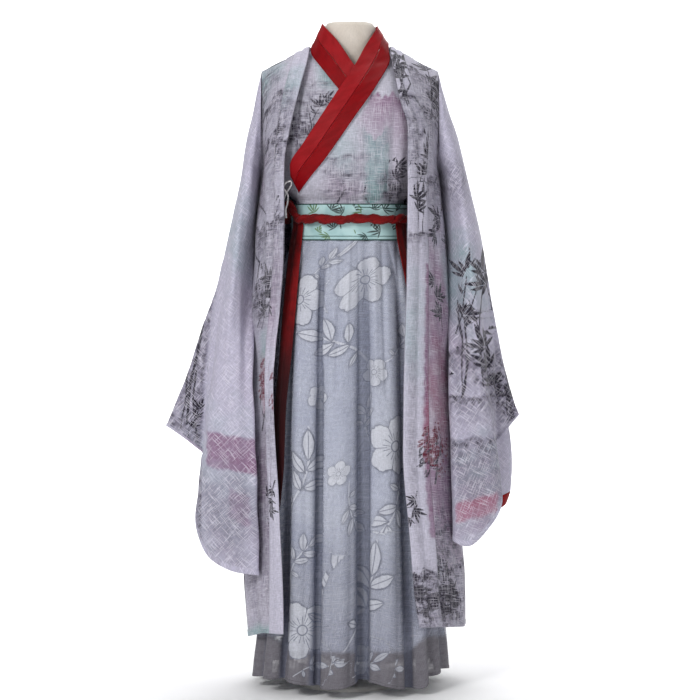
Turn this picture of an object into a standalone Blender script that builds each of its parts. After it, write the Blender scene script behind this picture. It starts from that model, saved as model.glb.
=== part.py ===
"""A hanfu set on a limbless dress form: a cross-collar top, a two-layer pleated skirt with a waistband, a twisted
sash with two tails, and an open wide-sleeved robe over them.

Metres, +Z up, the floor at 0. The front faces -Y, and +X is to the right of someone who looks at it.
Each cloth piece is a grid of points, worked out from the tables below, that is given a thickness.
"""

import math

import bpy
import numpy as np

# ---------------------------------------------------------------- driving sizes, in metres
DATUM = 0.040  # heights below are measured from a level this far under the floor
MIDDLE_X = -0.01492  # where the middle of the whole lies in the tables' own numbers
MIDDLE_Y = 0.00860
SEAM_GAP = 0.0003
GAUZE = 0.0015  # wall of the robe, the top and the skirt
BAND = 0.0016  # wall of a lapel or collar strip
LOOSE = 0.0022  # room left between a strip and what it lies on, where their grids differ
ROUNDNESS = 2.2  # exponent of the superellipse that every level section of the body follows

BASE_RADIUS = 0.108
BASE_TOP = 0.049
BOSS_RADIUS = 0.028
BOSS_TOP = 0.072
POLE_RADIUS = 0.0125
FORM_BOTTOM = 0.800

WAIST_LOW = 0.957
WAIST_HIGH = 1.031
WAISTBAND = {"left": 0.1206, "right": 0.1206, "front": 0.0990, "back": 0.0960, "wall": 0.0026}
SKIRT_LAYER_GAP = 0.0019

SASH_RADIUS = 0.0080
SASH_LOBE = 0.0016
SASH_TURNS = 24
SASH_HEIGHT = 1.000
SASH_RISE = {"height": 0.030, "degrees": -72.0, "spread": 13.0}
TAIL_WALL = 0.0020
TIE_DIAMETER = 0.0034


# ---------------------------------------------------------------- level sections: height, half widths, depths
FORM = [
    # z, left, right, front, back
    (0.800, 0.136, 0.136, 0.100, 0.114),
    (0.840, 0.136, 0.136, 0.100, 0.114),
    (0.880, 0.128, 0.128, 0.094, 0.106),
    (0.930, 0.110, 0.110, 0.082, 0.088),
    (0.965, 0.1045, 0.1045, 0.0785, 0.080),
    (1.010, 0.1035, 0.1035, 0.079, 0.080),
    (1.060, 0.112, 0.112, 0.094, 0.088),
    (1.120, 0.127, 0.127, 0.110, 0.096),
    (1.170, 0.137, 0.137, 0.122, 0.101),
    (1.210, 0.145, 0.145, 0.114, 0.101),
    (1.242, 0.152, 0.152, 0.096, 0.096),
    (1.268, 0.154, 0.154, 0.079, 0.086),
    (1.287, 0.145, 0.145, 0.065, 0.072),
    (1.303, 0.124, 0.124, 0.056, 0.063),
    (1.317, 0.100, 0.100, 0.051, 0.057),
    (1.331, 0.073, 0.073, 0.0480, 0.0520),
    (1.348, 0.058, 0.058, 0.0480, 0.0510),
    (1.370, 0.0530, 0.0530, 0.0500, 0.0515),
    (1.392, 0.0520, 0.0520, 0.0500, 0.0510),
    (1.4000, 0.0460, 0.0460, 0.0440, 0.0450),
]
TOP = [
    # z, left, right, front, back
    (0.962, 0.1105, 0.1105, 0.0885, 0.0890),
    (1.034, 0.1105, 0.1105, 0.0885, 0.0890),
    (1.048, 0.1230, 0.1230, 0.0990, 0.0960),
    (1.075, 0.1450, 0.1450, 0.1140, 0.1050),
    (1.115, 0.1630, 0.1630, 0.1270, 0.1110),
    (1.150, 0.1670, 0.1670, 0.1340, 0.1130),
    (1.190, 0.1700, 0.1700, 0.1350, 0.1130),
]
ROBE = [
    # z, left, right, front, back
    (0.130, 0.204, 0.231, 0.2060, 0.2120),
    (0.250, 0.204, 0.222, 0.1970, 0.2020),
    (0.400, 0.203, 0.209, 0.1860, 0.1910),
    (0.600, 0.199, 0.200, 0.1740, 0.1780),
    (0.800, 0.194, 0.193, 0.1640, 0.1640),
    (0.950, 0.189, 0.188, 0.1580, 0.1500),
    (1.090, 0.1805, 0.1805, 0.1540, 0.1380),
    (1.140, 0.1860, 0.1860, 0.1530, 0.1350),
    (1.190, 0.1900, 0.1900, 0.1510, 0.1320),
]
SKIRT = [
    # z, left, right, front, back, fold depth
    (0.054, 0.2050, 0.2070, 0.1960, 0.2020, 0.036),
    (0.160, 0.1945, 0.2000, 0.1850, 0.1910, 0.033),
    (0.350, 0.1880, 0.1900, 0.1700, 0.1770, 0.028),
    (0.600, 0.1780, 0.1790, 0.1530, 0.1610, 0.021),
    (0.800, 0.1640, 0.1640, 0.1370, 0.1460, 0.012),
    (0.880, 0.1500, 0.1500, 0.1240, 0.1310, 0.007),
    (0.930, 0.1310, 0.1310, 0.1080, 0.1100, 0.0035),
    (0.9567, 0.1200, 0.1200, 0.0985, 0.0960, 0.0015),
]
# The valleys between the skirt's rounded pleats, from -X round the front to +X and on round the back:
# where each is, 0 in front and 90 degrees on the +X side, and its depth as a share of the table's.
PLEAT_VALLEYS = [
    (-88, 0.7), (-67, 0.9), (-46, 1.0), (-21, 0.95), (6, 1.45), (38, 0.9), (52, 1.1), (70, 0.7), (92, 0.9),
    (113, 0.7), (135, 1.0), (156, 0.8), (178, 1.05), (200, 0.75), (223, 1.0), (247, 0.8),
]
PLEAT_STEPS = 4
HEM_OVERLAY = [
    # degrees, z
    (-88, 0.060), (-62, 0.068), (-38, 0.0720), (-14, 0.0610), (-3, 0.0640), (3, 0.0700), (8, 0.0740), (16, 0.0690),
    (29, 0.0580), (43, 0.0545), (49, 0.0680), (70, 0.0800), (95, 0.070), (140, 0.064), (180, 0.066), (225, 0.062),
    (272, 0.060),
]
HEM_LINING = [
    (-88, 0.150), (-38, 0.158), (-14, 0.122), (2, 0.108), (16, 0.112), (43, 0.118), (70, 0.130), (140, 0.126),
    (225, 0.132), (272, 0.150),
]

# The shoulder line of a garment: its inner end beside the neck, its outer end, how high the underarm is, where
# the line lies from front to back, how round it turns over in front and behind, and the middle of the neckline
# behind.
TOP_SHOULDER = {"neck_x": 0.070, "neck_z": 1.348, "tip_x": 0.163, "underarm": 1.115, "y": 0.004,
                "round": (1.55, 1.80), "nape": 1.331}
ROBE_SHOULDER = {"neck_x": 0.082, "neck_z": 1.352, "tip_x": 0.180, "underarm": 1.090, "y": 0.004,
                 "round": (1.65, 1.80), "nape": 1.313}
SHOULDER_SLOPE = 0.50
CHEST = 1.190  # above this level a garment rounds over to its shoulder line

# The inner edge of each front: height and distance from the middle.
ROBE_EDGE_LEFT = [
    (0.160, -0.131), (0.458, -0.140), (0.557, -0.146), (0.681, -0.150), (0.837, -0.137), (0.940, -0.1315),
    (1.107, -0.1305), (1.173, -0.1205), (1.260, -0.1005), (1.352, -0.082),
]
ROBE_EDGE_RIGHT = [
    (0.180, 0.141), (0.242, 0.132), (0.369, 0.1215), (0.532, 0.108), (0.682, 0.109), (0.920, 0.114),
    (1.106, 0.1145), (1.181, 0.1145), (1.250, 0.0965), (1.352, 0.082),
]
# How wide each lapel is, as an angle round the body at a height.
LAPEL_LEFT = [(0.160, 18.0), (1.000, 16.5), (1.107, 16.0), (1.250, 19.0), (1.352, 17.5)]
LAPEL_RIGHT = [(0.180, 22.0), (0.600, 26.0), (1.158, 26.0), (1.215, 21.0), (1.260, 17.0), (1.352, 12.0)]
ROBE_HEM = [(-90, 0.140), (-52, 0.166), (-35, 0.169), (0, 0.160), (35, 0.182), (90, 0.162), (180, 0.150), (270, 0.140)]
TOP_EDGE_OVER = [(0.962, -0.100), (1.060, -0.103), (1.100, -0.086), (1.230, 0.002), (1.300, 0.048), (1.348, 0.070)]
TOP_EDGE_UNDER = [(0.962, 0.040), (1.180, 0.034), (1.262, -0.018), (1.300, -0.046), (1.348, -0.070)]
OVERLAP_LIFT = 0.0060  # how far the upper front stands off the lower one

# The collar, from its hidden end under the wrap, up the one side, round the neck and down the other.
# None for y means that the row lies on the chest, this far out from the top's own surface.
COLLAR = [
    # neck edge x, y, z, outer edge x, y, z, out from the chest
    (0.0260, None, 1.2840, 0.0000, None, 1.2320, 0.0028),
    (0.0080, None, 1.3100, -0.0193, None, 1.2554, 0.0028),
    (-0.0247, -0.0600, 1.3600, -0.0540, None, 1.3000, 0.0028),
    (-0.0490, -0.0340, 1.3880, -0.0790, -0.0330, 1.3380, 0.0028),
    (-0.0565, -0.0020, 1.4000, -0.0700, 0.0020, 1.3640, 0.0),
    (-0.0420, 0.0440, 1.3930, -0.0530, 0.0560, 1.3490, 0.0),
    (0.0000, 0.0640, 1.3860, 0.0000, 0.0765, 1.3400, 0.0),
    (0.0420, 0.0440, 1.3910, 0.0560, 0.0560, 1.3490, 0.0),
    (0.0560, -0.0020, 1.3950, 0.0760, 0.0020, 1.3620, 0.0),
    (0.0470, -0.0370, 1.3760, 0.0790, -0.0350, 1.3400, 0.0),
    (0.0290, -0.0620, 1.3470, 0.0780, None, 1.3120, 0.0085),
    (0.0091, None, 1.3089, 0.0442, None, 1.2533, 0.0104),
    (-0.0401, None, 1.2326, 0.0120, None, 1.2076, 0.0104),
    (-0.0903, None, 1.1565, -0.0430, None, 1.1290, 0.0104),
    (-0.1180, None, 1.1171, -0.0820, None, 1.0810, 0.0104),
    (-0.1202, None, 1.0872, -0.1034, None, 1.0530, 0.0104),
]
COLLAR_STEPS = 31

# The wide sleeve: a row for each section from the shoulder to the mouth. The top fold and the seam under the
# arm are given as seen from the front, then the section's half depth and how far its hanging pleat is made.
SLEEVE_LEFT = [
    # fold x, fold z, seam x, seam z, half depth, pleat
    (0.1890, 1.270, 0.1860, 1.078, 0.064, 0.00),
    (0.2000, 1.215, 0.1890, 1.062, 0.072, 0.00),
    (0.2120, 1.165, 0.1920, 1.044, 0.079, 0.00),
    (0.2280, 1.070, 0.1970, 1.000, 0.086, 0.02),
    (0.2490, 0.965, 0.2020, 0.915, 0.092, 0.10),
    (0.2720, 0.870, 0.2060, 0.812, 0.095, 0.35),
    (0.3030, 0.780, 0.2100, 0.690, 0.098, 0.65),
    (0.3330, 0.690, 0.2130, 0.550, 0.101, 0.85),
    (0.3610, 0.617, 0.2150, 0.405, 0.104, 0.95),
    (0.3780, 0.575, 0.2160, 0.275, 0.106, 1.00),
]
SLEEVE_RIGHT = [
    (0.1890, 1.270, 0.1860, 1.078, 0.064, 0.00),
    (0.2050, 1.215, 0.1890, 1.062, 0.072, 0.00),
    (0.2220, 1.165, 0.1920, 1.046, 0.079, 0.00),
    (0.2440, 1.075, 0.1970, 1.004, 0.086, 0.02),
    (0.2690, 0.970, 0.2010, 0.928, 0.092, 0.10),
    (0.2850, 0.875, 0.2050, 0.835, 0.095, 0.35),
    (0.3010, 0.785, 0.2100, 0.720, 0.098, 0.65),
    (0.3170, 0.705, 0.2150, 0.595, 0.101, 0.85),
    (0.3360, 0.635, 0.2210, 0.465, 0.104, 0.95),
    (0.3480, 0.598, 0.2260, 0.345, 0.106, 1.00),
]
# The mouth once round, from the top fold along the front to the seam and back behind. Across runs from the
# fold to the seam, depth from -1 in front to 1 behind, and drop from the fold's height to the seam's.
MOUTH_LEFT = [
    # across, depth, drop
    (0.00, 0.00, 0.00), (0.16, -0.16, 0.05), (0.34, -0.24, 0.12), (0.47, -0.32, 0.19), (0.445, -0.46, 0.30),
    (0.41, -0.58, 0.44), (0.395, -0.72, 0.58), (0.43, -0.88, 0.72), (0.57, -1.00, 0.86), (0.85, -1.09, 0.945),
    (1.17, -1.12, 0.975), (1.04, -0.68, 0.985), (1.03, -0.20, 0.99), (0.98, 0.36, 0.93), (0.82, 0.70, 0.80),
    (0.62, 0.84, 0.60), (0.53, 0.78, 0.38), (0.38, 0.55, 0.17),
]
MOUTH_RIGHT = [
    (0.00, 0.00, 0.00), (0.14, -0.16, 0.07), (0.27, -0.24, 0.15), (0.385, -0.32, 0.235), (0.37, -0.46, 0.35),
    (0.335, -0.58, 0.47), (0.315, -0.72, 0.585), (0.335, -0.86, 0.70), (0.48, -1.00, 0.83), (0.82, -1.05, 1.01),
    (1.06, -0.98, 0.98), (1.02, -0.62, 0.96), (1.01, -0.20, 0.98), (0.98, 0.36, 0.93), (0.82, 0.70, 0.80),
    (0.60, 0.84, 0.62), (0.48, 0.80, 0.42), (0.31, 0.58, 0.20),
]
MOUTH_SEAM = 12  # which point of the mouth is the seam
SLEEVE_STEPS = 9

# The top's sleeve inside the robe's: as above, with the section's middle from front to back.
UNDER_SLEEVE_LEFT = [
    # fold x, fold z, seam x, seam z, half depth, middle y
    (0.1740, 1.270, 0.1730, 1.126, 0.034, -0.003),
    (0.1860, 1.238, 0.1850, 1.112, 0.036, -0.002),
    (0.1960, 1.180, 0.1960, 1.082, 0.042, 0.000),
    (0.2110, 1.100, 0.2040, 1.030, 0.050, 0.004),
    (0.2320, 0.970, 0.2110, 0.925, 0.050, 0.006),
    (0.2540, 0.860, 0.2180, 0.800, 0.046, 0.010),
    (0.2780, 0.740, 0.2240, 0.665, 0.040, 0.014),
    (0.2920, 0.620, 0.2300, 0.545, 0.034, 0.016),
    (0.2940, 0.520, 0.2340, 0.455, 0.032, 0.016),
    (0.2900, 0.465, 0.2360, 0.405, 0.031, 0.016),
]
UNDER_SLEEVE_RIGHT = [
    (0.1740, 1.270, 0.1730, 1.126, 0.034, -0.003),
    (0.1860, 1.238, 0.1850, 1.112, 0.036, -0.002),
    (0.1990, 1.180, 0.1960, 1.082, 0.042, 0.000),
    (0.2210, 1.100, 0.2040, 1.030, 0.050, 0.004),
    (0.2500, 0.970, 0.2110, 0.925, 0.050, 0.006),
    (0.2700, 0.860, 0.2180, 0.800, 0.046, 0.010),
    (0.2890, 0.750, 0.2240, 0.680, 0.040, 0.014),
    (0.3110, 0.650, 0.2310, 0.590, 0.034, 0.016),
    (0.3320, 0.555, 0.2380, 0.500, 0.032, 0.016),
    (0.3370, 0.490, 0.2420, 0.445, 0.031, 0.016),
    (0.3335, 0.438, 0.2450, 0.405, 0.031, 0.016),
]
CUFF_LEFT = [(0.2900, 0.4645, 0.2360, 0.4045, 0.031, 0.016), (0.2860, 0.4380, 0.2380, 0.3800, 0.030, 0.016)]
CUFF_RIGHT = [(0.3335, 0.4375, 0.2450, 0.4045, 0.031, 0.016), (0.3240, 0.4100, 0.2480, 0.3720, 0.030, 0.016)]

# The flat tails of the sash, from the top: centre x, z, half width, and how far out from the skirt.
TAIL_LEFT = [
    (-0.1010, 0.985, 0.0100, 0.0055),
    (-0.1060, 0.945, 0.0115, 0.0065),
    (-0.1150, 0.860, 0.0125, 0.0060),
    (-0.1250, 0.740, 0.0120, 0.0060),
    (-0.1360, 0.620, 0.0115, 0.0065),
    (-0.1410, 0.500, 0.0120, 0.0070),
    (-0.1500, 0.400, 0.0125, 0.0070),
    (-0.1560, 0.320, 0.0130, 0.0070),
]
TAIL_RIGHT = [
    (0.1000, 0.985, 0.0110, 0.0060),
    (0.1030, 0.945, 0.0115, 0.0095),
    (0.1200, 0.860, 0.0120, 0.0090),
    (0.1350, 0.740, 0.0130, 0.0080),
    (0.1400, 0.600, 0.0130, 0.0075),
    (0.1410, 0.460, 0.0130, 0.0075),
]
# The knotted side tie: one cord from free end to free end, through its loop.
SIDE_TIE = [
    (-0.1395, -0.0760, 1.0080), (-0.1375, -0.0775, 1.0280), (-0.1310, -0.0800, 1.0480), (-0.1240, -0.0835, 1.0600),
    (-0.1185, -0.0900, 1.0700), (-0.1200, -0.0975, 1.0760), (-0.1290, -0.0980, 1.0730), (-0.1340, -0.0940, 1.0640),
    (-0.1300, -0.0895, 1.0560), (-0.1255, -0.0885, 1.0470), (-0.1265, -0.0880, 1.0320), (-0.1300, -0.0860, 1.0190),
    (-0.1290, -0.0840, 1.0020),
]


# ---------------------------------------------------------------- numbers
def smooth(table, column, at):
    """The table's column at a value of its first one, on a curve that never overshoots the rows."""
    z = [row[0] for row in table]
    v = [row[column] for row in table]
    i = int(np.clip(np.searchsorted(z, at) - 1, 0, len(z) - 2))
    t = min(max((at - z[i]) / (z[i + 1] - z[i]), 0.0), 1.0)

    def slope(k):
        if k in (0, len(z) - 1):
            return 0.0
        before = (v[k] - v[k - 1]) / (z[k] - z[k - 1])
        after = (v[k + 1] - v[k]) / (z[k + 1] - z[k])
        return 0.0 if before * after <= 0 else 2 * before * after / (before + after)

    h = z[i + 1] - z[i]
    a, b = slope(i) * h, slope(i + 1) * h
    return (
        v[i] * (2 * t**3 - 3 * t**2 + 1)
        + a * (t**3 - 2 * t**2 + t)
        + v[i + 1] * (3 * t**2 - 2 * t**3)
        + b * (t**3 - t**2)
    )


def curve_through(points, count, closed=False):
    """Evenly numbered points on a Catmull-Rom curve through the given ones."""
    p = np.asarray(points, float)
    n = len(p)
    found = []
    spans = n if closed else n - 1
    for k in range(count):
        s = spans * k / (count if closed else count - 1)
        i = min(int(s), spans - 1)
        t = s - i
        if closed:
            a, b, c, d = (p[(i + j) % n] for j in (-1, 0, 1, 2))
        else:
            b, c = p[i], p[i + 1]
            a = p[i - 1] if i else 2 * b - c
            d = p[i + 2] if i + 2 < n else 2 * c - b
        found.append(b + 0.5 * t * (c - a + t * (2 * a - 5 * b + 4 * c - d + t * (3 * (b - c) + d - a))))
    return np.array(found)


def signed_power(value, power):
    return math.copysign(abs(value) ** power, value)


def section_point(table, z, degrees, out=0.0):
    """A point of the level section at height z, at an angle seen from above: 0 in front, 90 on the +X side."""
    a = math.radians(degrees)
    side = smooth(table, 2 if math.sin(a) > 0 else 1, z) + out
    depth = smooth(table, 3 if math.cos(a) > 0 else 4, z) + out
    power = 2 / ROUNDNESS
    return np.array([side * signed_power(math.sin(a), power), -depth * signed_power(math.cos(a), power), z])


def degrees_at(table, z, x):
    """The angle at which the front of the level section reaches x."""
    side = smooth(table, 2 if x > 0 else 1, z)
    share = min(abs(x) / side, 1.0)
    return math.copysign(math.degrees(math.asin(share ** (ROUNDNESS / 2))), x)


# ---------------------------------------------------------------- a garment's surface over the shoulders
def ridge_height(shoulder, x):
    return shoulder["neck_z"] + SHOULDER_SLOPE * (shoulder["neck_x"] - abs(x))


def neckline(shoulder, x):
    """How high the cloth reaches behind: the shoulder line, or between its inner ends the neckline."""
    if abs(x) >= shoulder["neck_x"]:
        return ridge_height(shoulder, x)
    share = 1 - (x / shoulder["neck_x"]) ** 2
    return shoulder["neck_z"] + (shoulder["nape"] - shoulder["neck_z"]) * share


def surface_y(table, shoulder, x, z, behind=False):
    """Where the garment's surface lies, from front to back, at x and z."""
    column, sign = (4, 1.0) if behind else (3, -1.0)
    level = min(z, CHEST)
    side = smooth(table, 2 if x > 0 else 1, level)
    share = max(1 - (abs(x) / side) ** ROUNDNESS, 0.0) ** (1 / ROUNDNESS)
    depth = smooth(table, column, level) * share
    if z <= CHEST:
        return sign * depth
    v = min((z - CHEST) / max(ridge_height(shoulder, x) - CHEST, 1e-6), 1.0)
    power = shoulder["round"][1 if behind else 0]
    return shoulder["y"] + (sign * depth - shoulder["y"]) * (1 - v**power) ** (1 / power)


def armhole_x(table, shoulder, z):
    side = smooth(table, 2, min(z, CHEST))
    return side if z <= shoulder["underarm"] else min(shoulder["tip_x"], side)


def upper_share(k, count):
    """Rows above the underarm, closer together towards the shoulder line, where the cloth turns."""
    return math.sin(0.5 * math.pi * k / count)


def upper_point(table, shoulder, angle_of, v, top, edge, side):
    """Where a column stands above the underarm, a share v of its way up to its top."""
    z = shoulder["underarm"] + v * (top - shoulder["underarm"])
    level = min(z, CHEST)
    z_out = shoulder["underarm"] + v * (ridge_height(shoulder, shoulder["tip_x"]) - shoulder["underarm"])
    end = side * abs(degrees_at(table, min(z_out, CHEST), armhole_x(table, shoulder, z_out)))
    start = degrees_at(table, level, smooth(edge, 1, z)) if edge else 0.0
    angle = angle_of(start, end, z)
    width = smooth(table, 2 if angle > 0 else 1, level)
    return width * signed_power(math.sin(math.radians(angle)), 2 / ROUNDNESS), z


def lapel_angle(column, columns, start, end, side, z):
    """Three columns across the lapel, then the rest of the front in even steps."""
    wide = side * smooth(LAPEL_RIGHT if side > 0 else LAPEL_LEFT, 1, z)
    if column <= 2:
        return start + wide * column / 2
    return start + wide + (end - start - wide) * (column - 2) / (columns - 3)


def even_angle(column, columns, start, end, side, z):
    return start + (end - start) * column / (columns - 1)


def front_grid(table, shoulder, edge, side, hem, low, high_rows, columns, spread, lift=None, folds=None):
    """A front, from its inner edge to its side seam and armhole, and from its hem to the shoulder line.

    low holds the rows below the underarm, as shares of the way up from the hem.
    """
    half_gap = SEAM_GAP / 2 + 0.0001
    under = shoulder["underarm"]
    rows = []
    for t in low:
        row = []
        for c in range(columns):
            z = under * t + hem(0.0) * (1 - t)
            for _ in range(3):
                angle = spread(c, columns, degrees_at(table, z, smooth(edge, 1, z)), 90.0 * side, side, z)
                z = under * t + hem(angle) * (1 - t)
            out = folds(angle, z) if folds else 0.0
            out += lift(angle, 0.0) if lift else 0.0
            point = section_point(table, z, angle, out)
            if c == columns - 1:
                point[1] = -half_gap
            row.append(point)
        rows.append(row)
    for r in range(high_rows + 1):
        v = upper_share(r, high_rows)
        row = []
        for c in range(columns):
            top = shoulder["neck_z"]
            for _ in range(6):
                angle_of = lambda start, end, z, c=c: spread(c, columns, start, end, side, z)
                x_top = upper_point(table, shoulder, angle_of, 1.0, top, edge, side)[0]
                top = ridge_height(shoulder, x_top)
            x, z = upper_point(table, shoulder, angle_of, v, top, edge, side)
            y = surface_y(table, shoulder, x, z)
            if lift:
                y -= lift(degrees_at(table, min(z, CHEST), x), v)
            if r == high_rows:
                y = shoulder["y"] - half_gap
            elif r == 0 and c == columns - 1:
                y = -half_gap
            row.append(np.array([x, y, z]))
        rows.append(row)
    grid = np.array(rows)
    return grid if side > 0 else grid[:, ::-1]


def back_grid(table, shoulder, hem, low, high_rows, tops, folds=None):
    """The back between the side seams; tops holds where each column ends at the shoulder line or the neckline."""
    half_gap = SEAM_GAP / 2 + 0.0001
    last = abs(degrees_at(table, CHEST, shoulder["tip_x"]))
    columns = [degrees_at(table, CHEST, x) / last for x in tops]
    rows = []
    for t in low:
        row = []
        for c, ratio in enumerate(columns):
            angle = 180.0 - 90.0 * ratio
            z = shoulder["underarm"] * t + hem(angle) * (1 - t)
            point = section_point(table, z, angle, folds(angle, z) if folds else 0.0)
            if c in (0, len(columns) - 1):
                point[1] = half_gap
            row.append(point)
        rows.append(row)
    for r in range(high_rows + 1):
        v = upper_share(r, high_rows)
        row = []
        for c, ratio in enumerate(columns):
            side = 1 if ratio > 0 else -1
            angle_of = lambda start, end, z, ratio=ratio: end * abs(ratio)
            x, z = upper_point(table, shoulder, angle_of, v, neckline(shoulder, tops[c]), None, side)
            y = surface_y(table, shoulder, x, z, behind=True)
            if r == high_rows and abs(tops[c]) >= shoulder["neck_x"] - 1e-6:
                y = shoulder["y"] + half_gap
            elif r == 0 and c in (0, len(columns) - 1):
                y = half_gap
            row.append(np.array([x, y, z]))
        rows.append(row)
    return np.array(rows)


# ---------------------------------------------------------------- folds and sleeves
def hem_level(table):
    def level(degrees):
        turned = degrees
        while turned < table[0][0]:
            turned += 360
        while turned > table[-1][0]:
            turned -= 360
        return smooth(table, 1, max(turned, table[0][0]))

    return level


def robe_folds(degrees, z):
    """Soft upright waves that grow towards the hem and die away at the sides."""
    grown = min(max((1.02 - z) / 0.70, 0.0), 1.0) * (0.25 + 0.75 * math.cos(math.radians(degrees)) ** 2)
    return grown * (
        0.0050 * math.sin(math.radians(degrees * 7 + 30)) + 0.0034 * math.sin(math.radians(degrees * 12 - 70))
    )


def pleat_inset(degrees, valleys):
    """How deep in its pleat an angle lies: 0 on the crown and the valley's own share at its bottom."""
    count = len(valleys)
    for i in range(count):
        a, deep_a = valleys[i]
        b, deep_b = valleys[(i + 1) % count]
        if i == count - 1:
            b += 360
        for turned in (degrees, degrees + 360, degrees - 360):
            if a <= turned <= b:
                u = (turned - a) / (b - a)
                return (deep_a * (1 - u) + deep_b * u) * abs(2 * u - 1) ** 2.3
    return 0.0


def skirt_grid(hem, rows, steps=PLEAT_STEPS):
    """The skirt's outer surface, closed round the body, its columns running from pleat to pleat."""
    angles = []
    count = len(PLEAT_VALLEYS)
    for i in range(count):
        a = PLEAT_VALLEYS[i][0]
        b = PLEAT_VALLEYS[(i + 1) % count][0] + (360 if i == count - 1 else 0)
        for k in range(steps):
            angles.append(a + (b - a) * (0.5 - 0.5 * math.cos(math.pi * k / steps)))
    grid = []
    for t in rows:
        row = []
        for angle in angles:
            z = hem(angle) + (WAIST_LOW - SEAM_GAP - hem(angle)) * t
            inset = pleat_inset(angle, PLEAT_VALLEYS) * smooth(SKIRT, 5, z)
            row.append(section_point(SKIRT, z, angle, -inset))
        grid.append(row)
    return np.array(grid)


def armhole_ring(table, shoulder, x, count_front, count_back):
    """The edge of the armhole once round, from the shoulder tip along the front to the underarm and back."""
    high = ridge_height(shoulder, shoulder["tip_x"])
    middle, half = (high + shoulder["underarm"]) / 2, (high - shoulder["underarm"]) / 2
    ring = []
    for k in range(count_front + count_back):
        if k < count_front:
            a = math.pi * k / count_front
        else:
            a = math.pi + math.pi * (k - count_front) / count_back
        z = middle + half * math.cos(a)
        y = surface_y(table, shoulder, shoulder["tip_x"], z, behind=a > math.pi)
        ring.append((x, y, z))
    return np.array(ring)


def ring_along(ring, side):
    """For the sleeve on the -X side the ring is mirrored and turned round, so that its normals stay outward."""
    if side > 0:
        return ring
    flipped = ring.copy()
    flipped[:, 0] *= -1
    return np.concatenate([flipped[:1], flipped[1:][::-1]])


def pleated_sleeve(sections, mouth, steps, per_span, first_ring, side):
    """The wide sleeve's rings, from the armhole to the mouth."""
    columns = len(mouth) * per_span
    front = MOUTH_SEAM * per_span
    outline = curve_through(mouth, columns, closed=True)
    rows = [first_ring]
    table = curve_through(sections, steps)
    for fold_x, fold_z, seam_x, seam_z, half_depth, pleat in table:
        pleat = min(max(pleat, 0.0), 1.0)
        ring = []
        for k in range(columns):
            a = math.pi * k / front if k < front else math.pi + math.pi * (k - front) / (columns - front)
            even = (1 - math.cos(a)) / 2
            across = even * (1 - pleat) + outline[k][0] * pleat
            depth = -math.sin(a) * (1 - pleat) + outline[k][1] * pleat
            drop = even * (1 - pleat) + outline[k][2] * pleat
            ring.append(
                (
                    fold_x + (seam_x - fold_x) * across,
                    depth * half_depth + 0.004 * (1 - pleat),
                    fold_z + (seam_z - fold_z) * drop,
                )
            )
        rows.append(ring)
    rows = [ring_along(np.array(ring), side) for ring in rows]
    return np.array(rows[::-1])


def plain_sleeve(sections, steps, columns, first_ring, side):
    """The top's sleeve: plain rings, from the armhole down; without a first ring, a length of the same tube."""
    rows = [] if first_ring is None else [first_ring]
    for fold_x, fold_z, seam_x, seam_z, half_depth, middle in curve_through(sections, steps):
        ring = []
        for k in range(columns):
            a = 2 * math.pi * k / columns
            even = (1 - math.cos(a)) / 2
            ring.append(
                (
                    fold_x + (seam_x - fold_x) * even,
                    middle - math.sin(a) * half_depth,
                    fold_z + (seam_z - fold_z) * even,
                )
            )
        rows.append(ring)
    rows = [ring_along(np.array(ring), side) for ring in rows]
    return np.array(rows[::-1])


# ---------------------------------------------------------------- solids
def clear_scene():
    for old in list(bpy.data.objects):
        bpy.data.objects.remove(old)


def finish_of(name, colour, roughness, metallic=0.0):
    found = bpy.data.materials.get(name) or bpy.data.materials.new(name)
    found.use_nodes = True
    shader = found.node_tree.nodes["Principled BSDF"]
    shader.inputs["Base Color"].default_value = (*colour, 1.0)
    shader.inputs["Roughness"].default_value = roughness
    shader.inputs["Metallic"].default_value = metallic
    return found


def add_object(name, points, faces, material):
    mesh = bpy.data.meshes.new(name)
    mesh.from_pydata([(p[0] - MIDDLE_X, p[1] - MIDDLE_Y, p[2] - DATUM) for p in points], [], faces)
    mesh.shade_smooth()
    mesh.set_sharp_from_angle(angle=math.radians(48))
    made = bpy.data.objects.new(name, mesh)
    made.data.materials.append(material)
    bpy.context.scene.collection.objects.link(made)
    return made


def normals_of(grid, closed=False):
    """Unit normals of a grid, from its rows and columns."""
    if closed:
        along = np.roll(grid, -1, 1) - np.roll(grid, 1, 1)
    else:
        along = np.gradient(grid, axis=1)
    up = np.gradient(grid, axis=0)
    n = np.cross(along, up)
    return n / np.maximum(np.linalg.norm(n, axis=2, keepdims=True), 1e-12)


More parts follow.
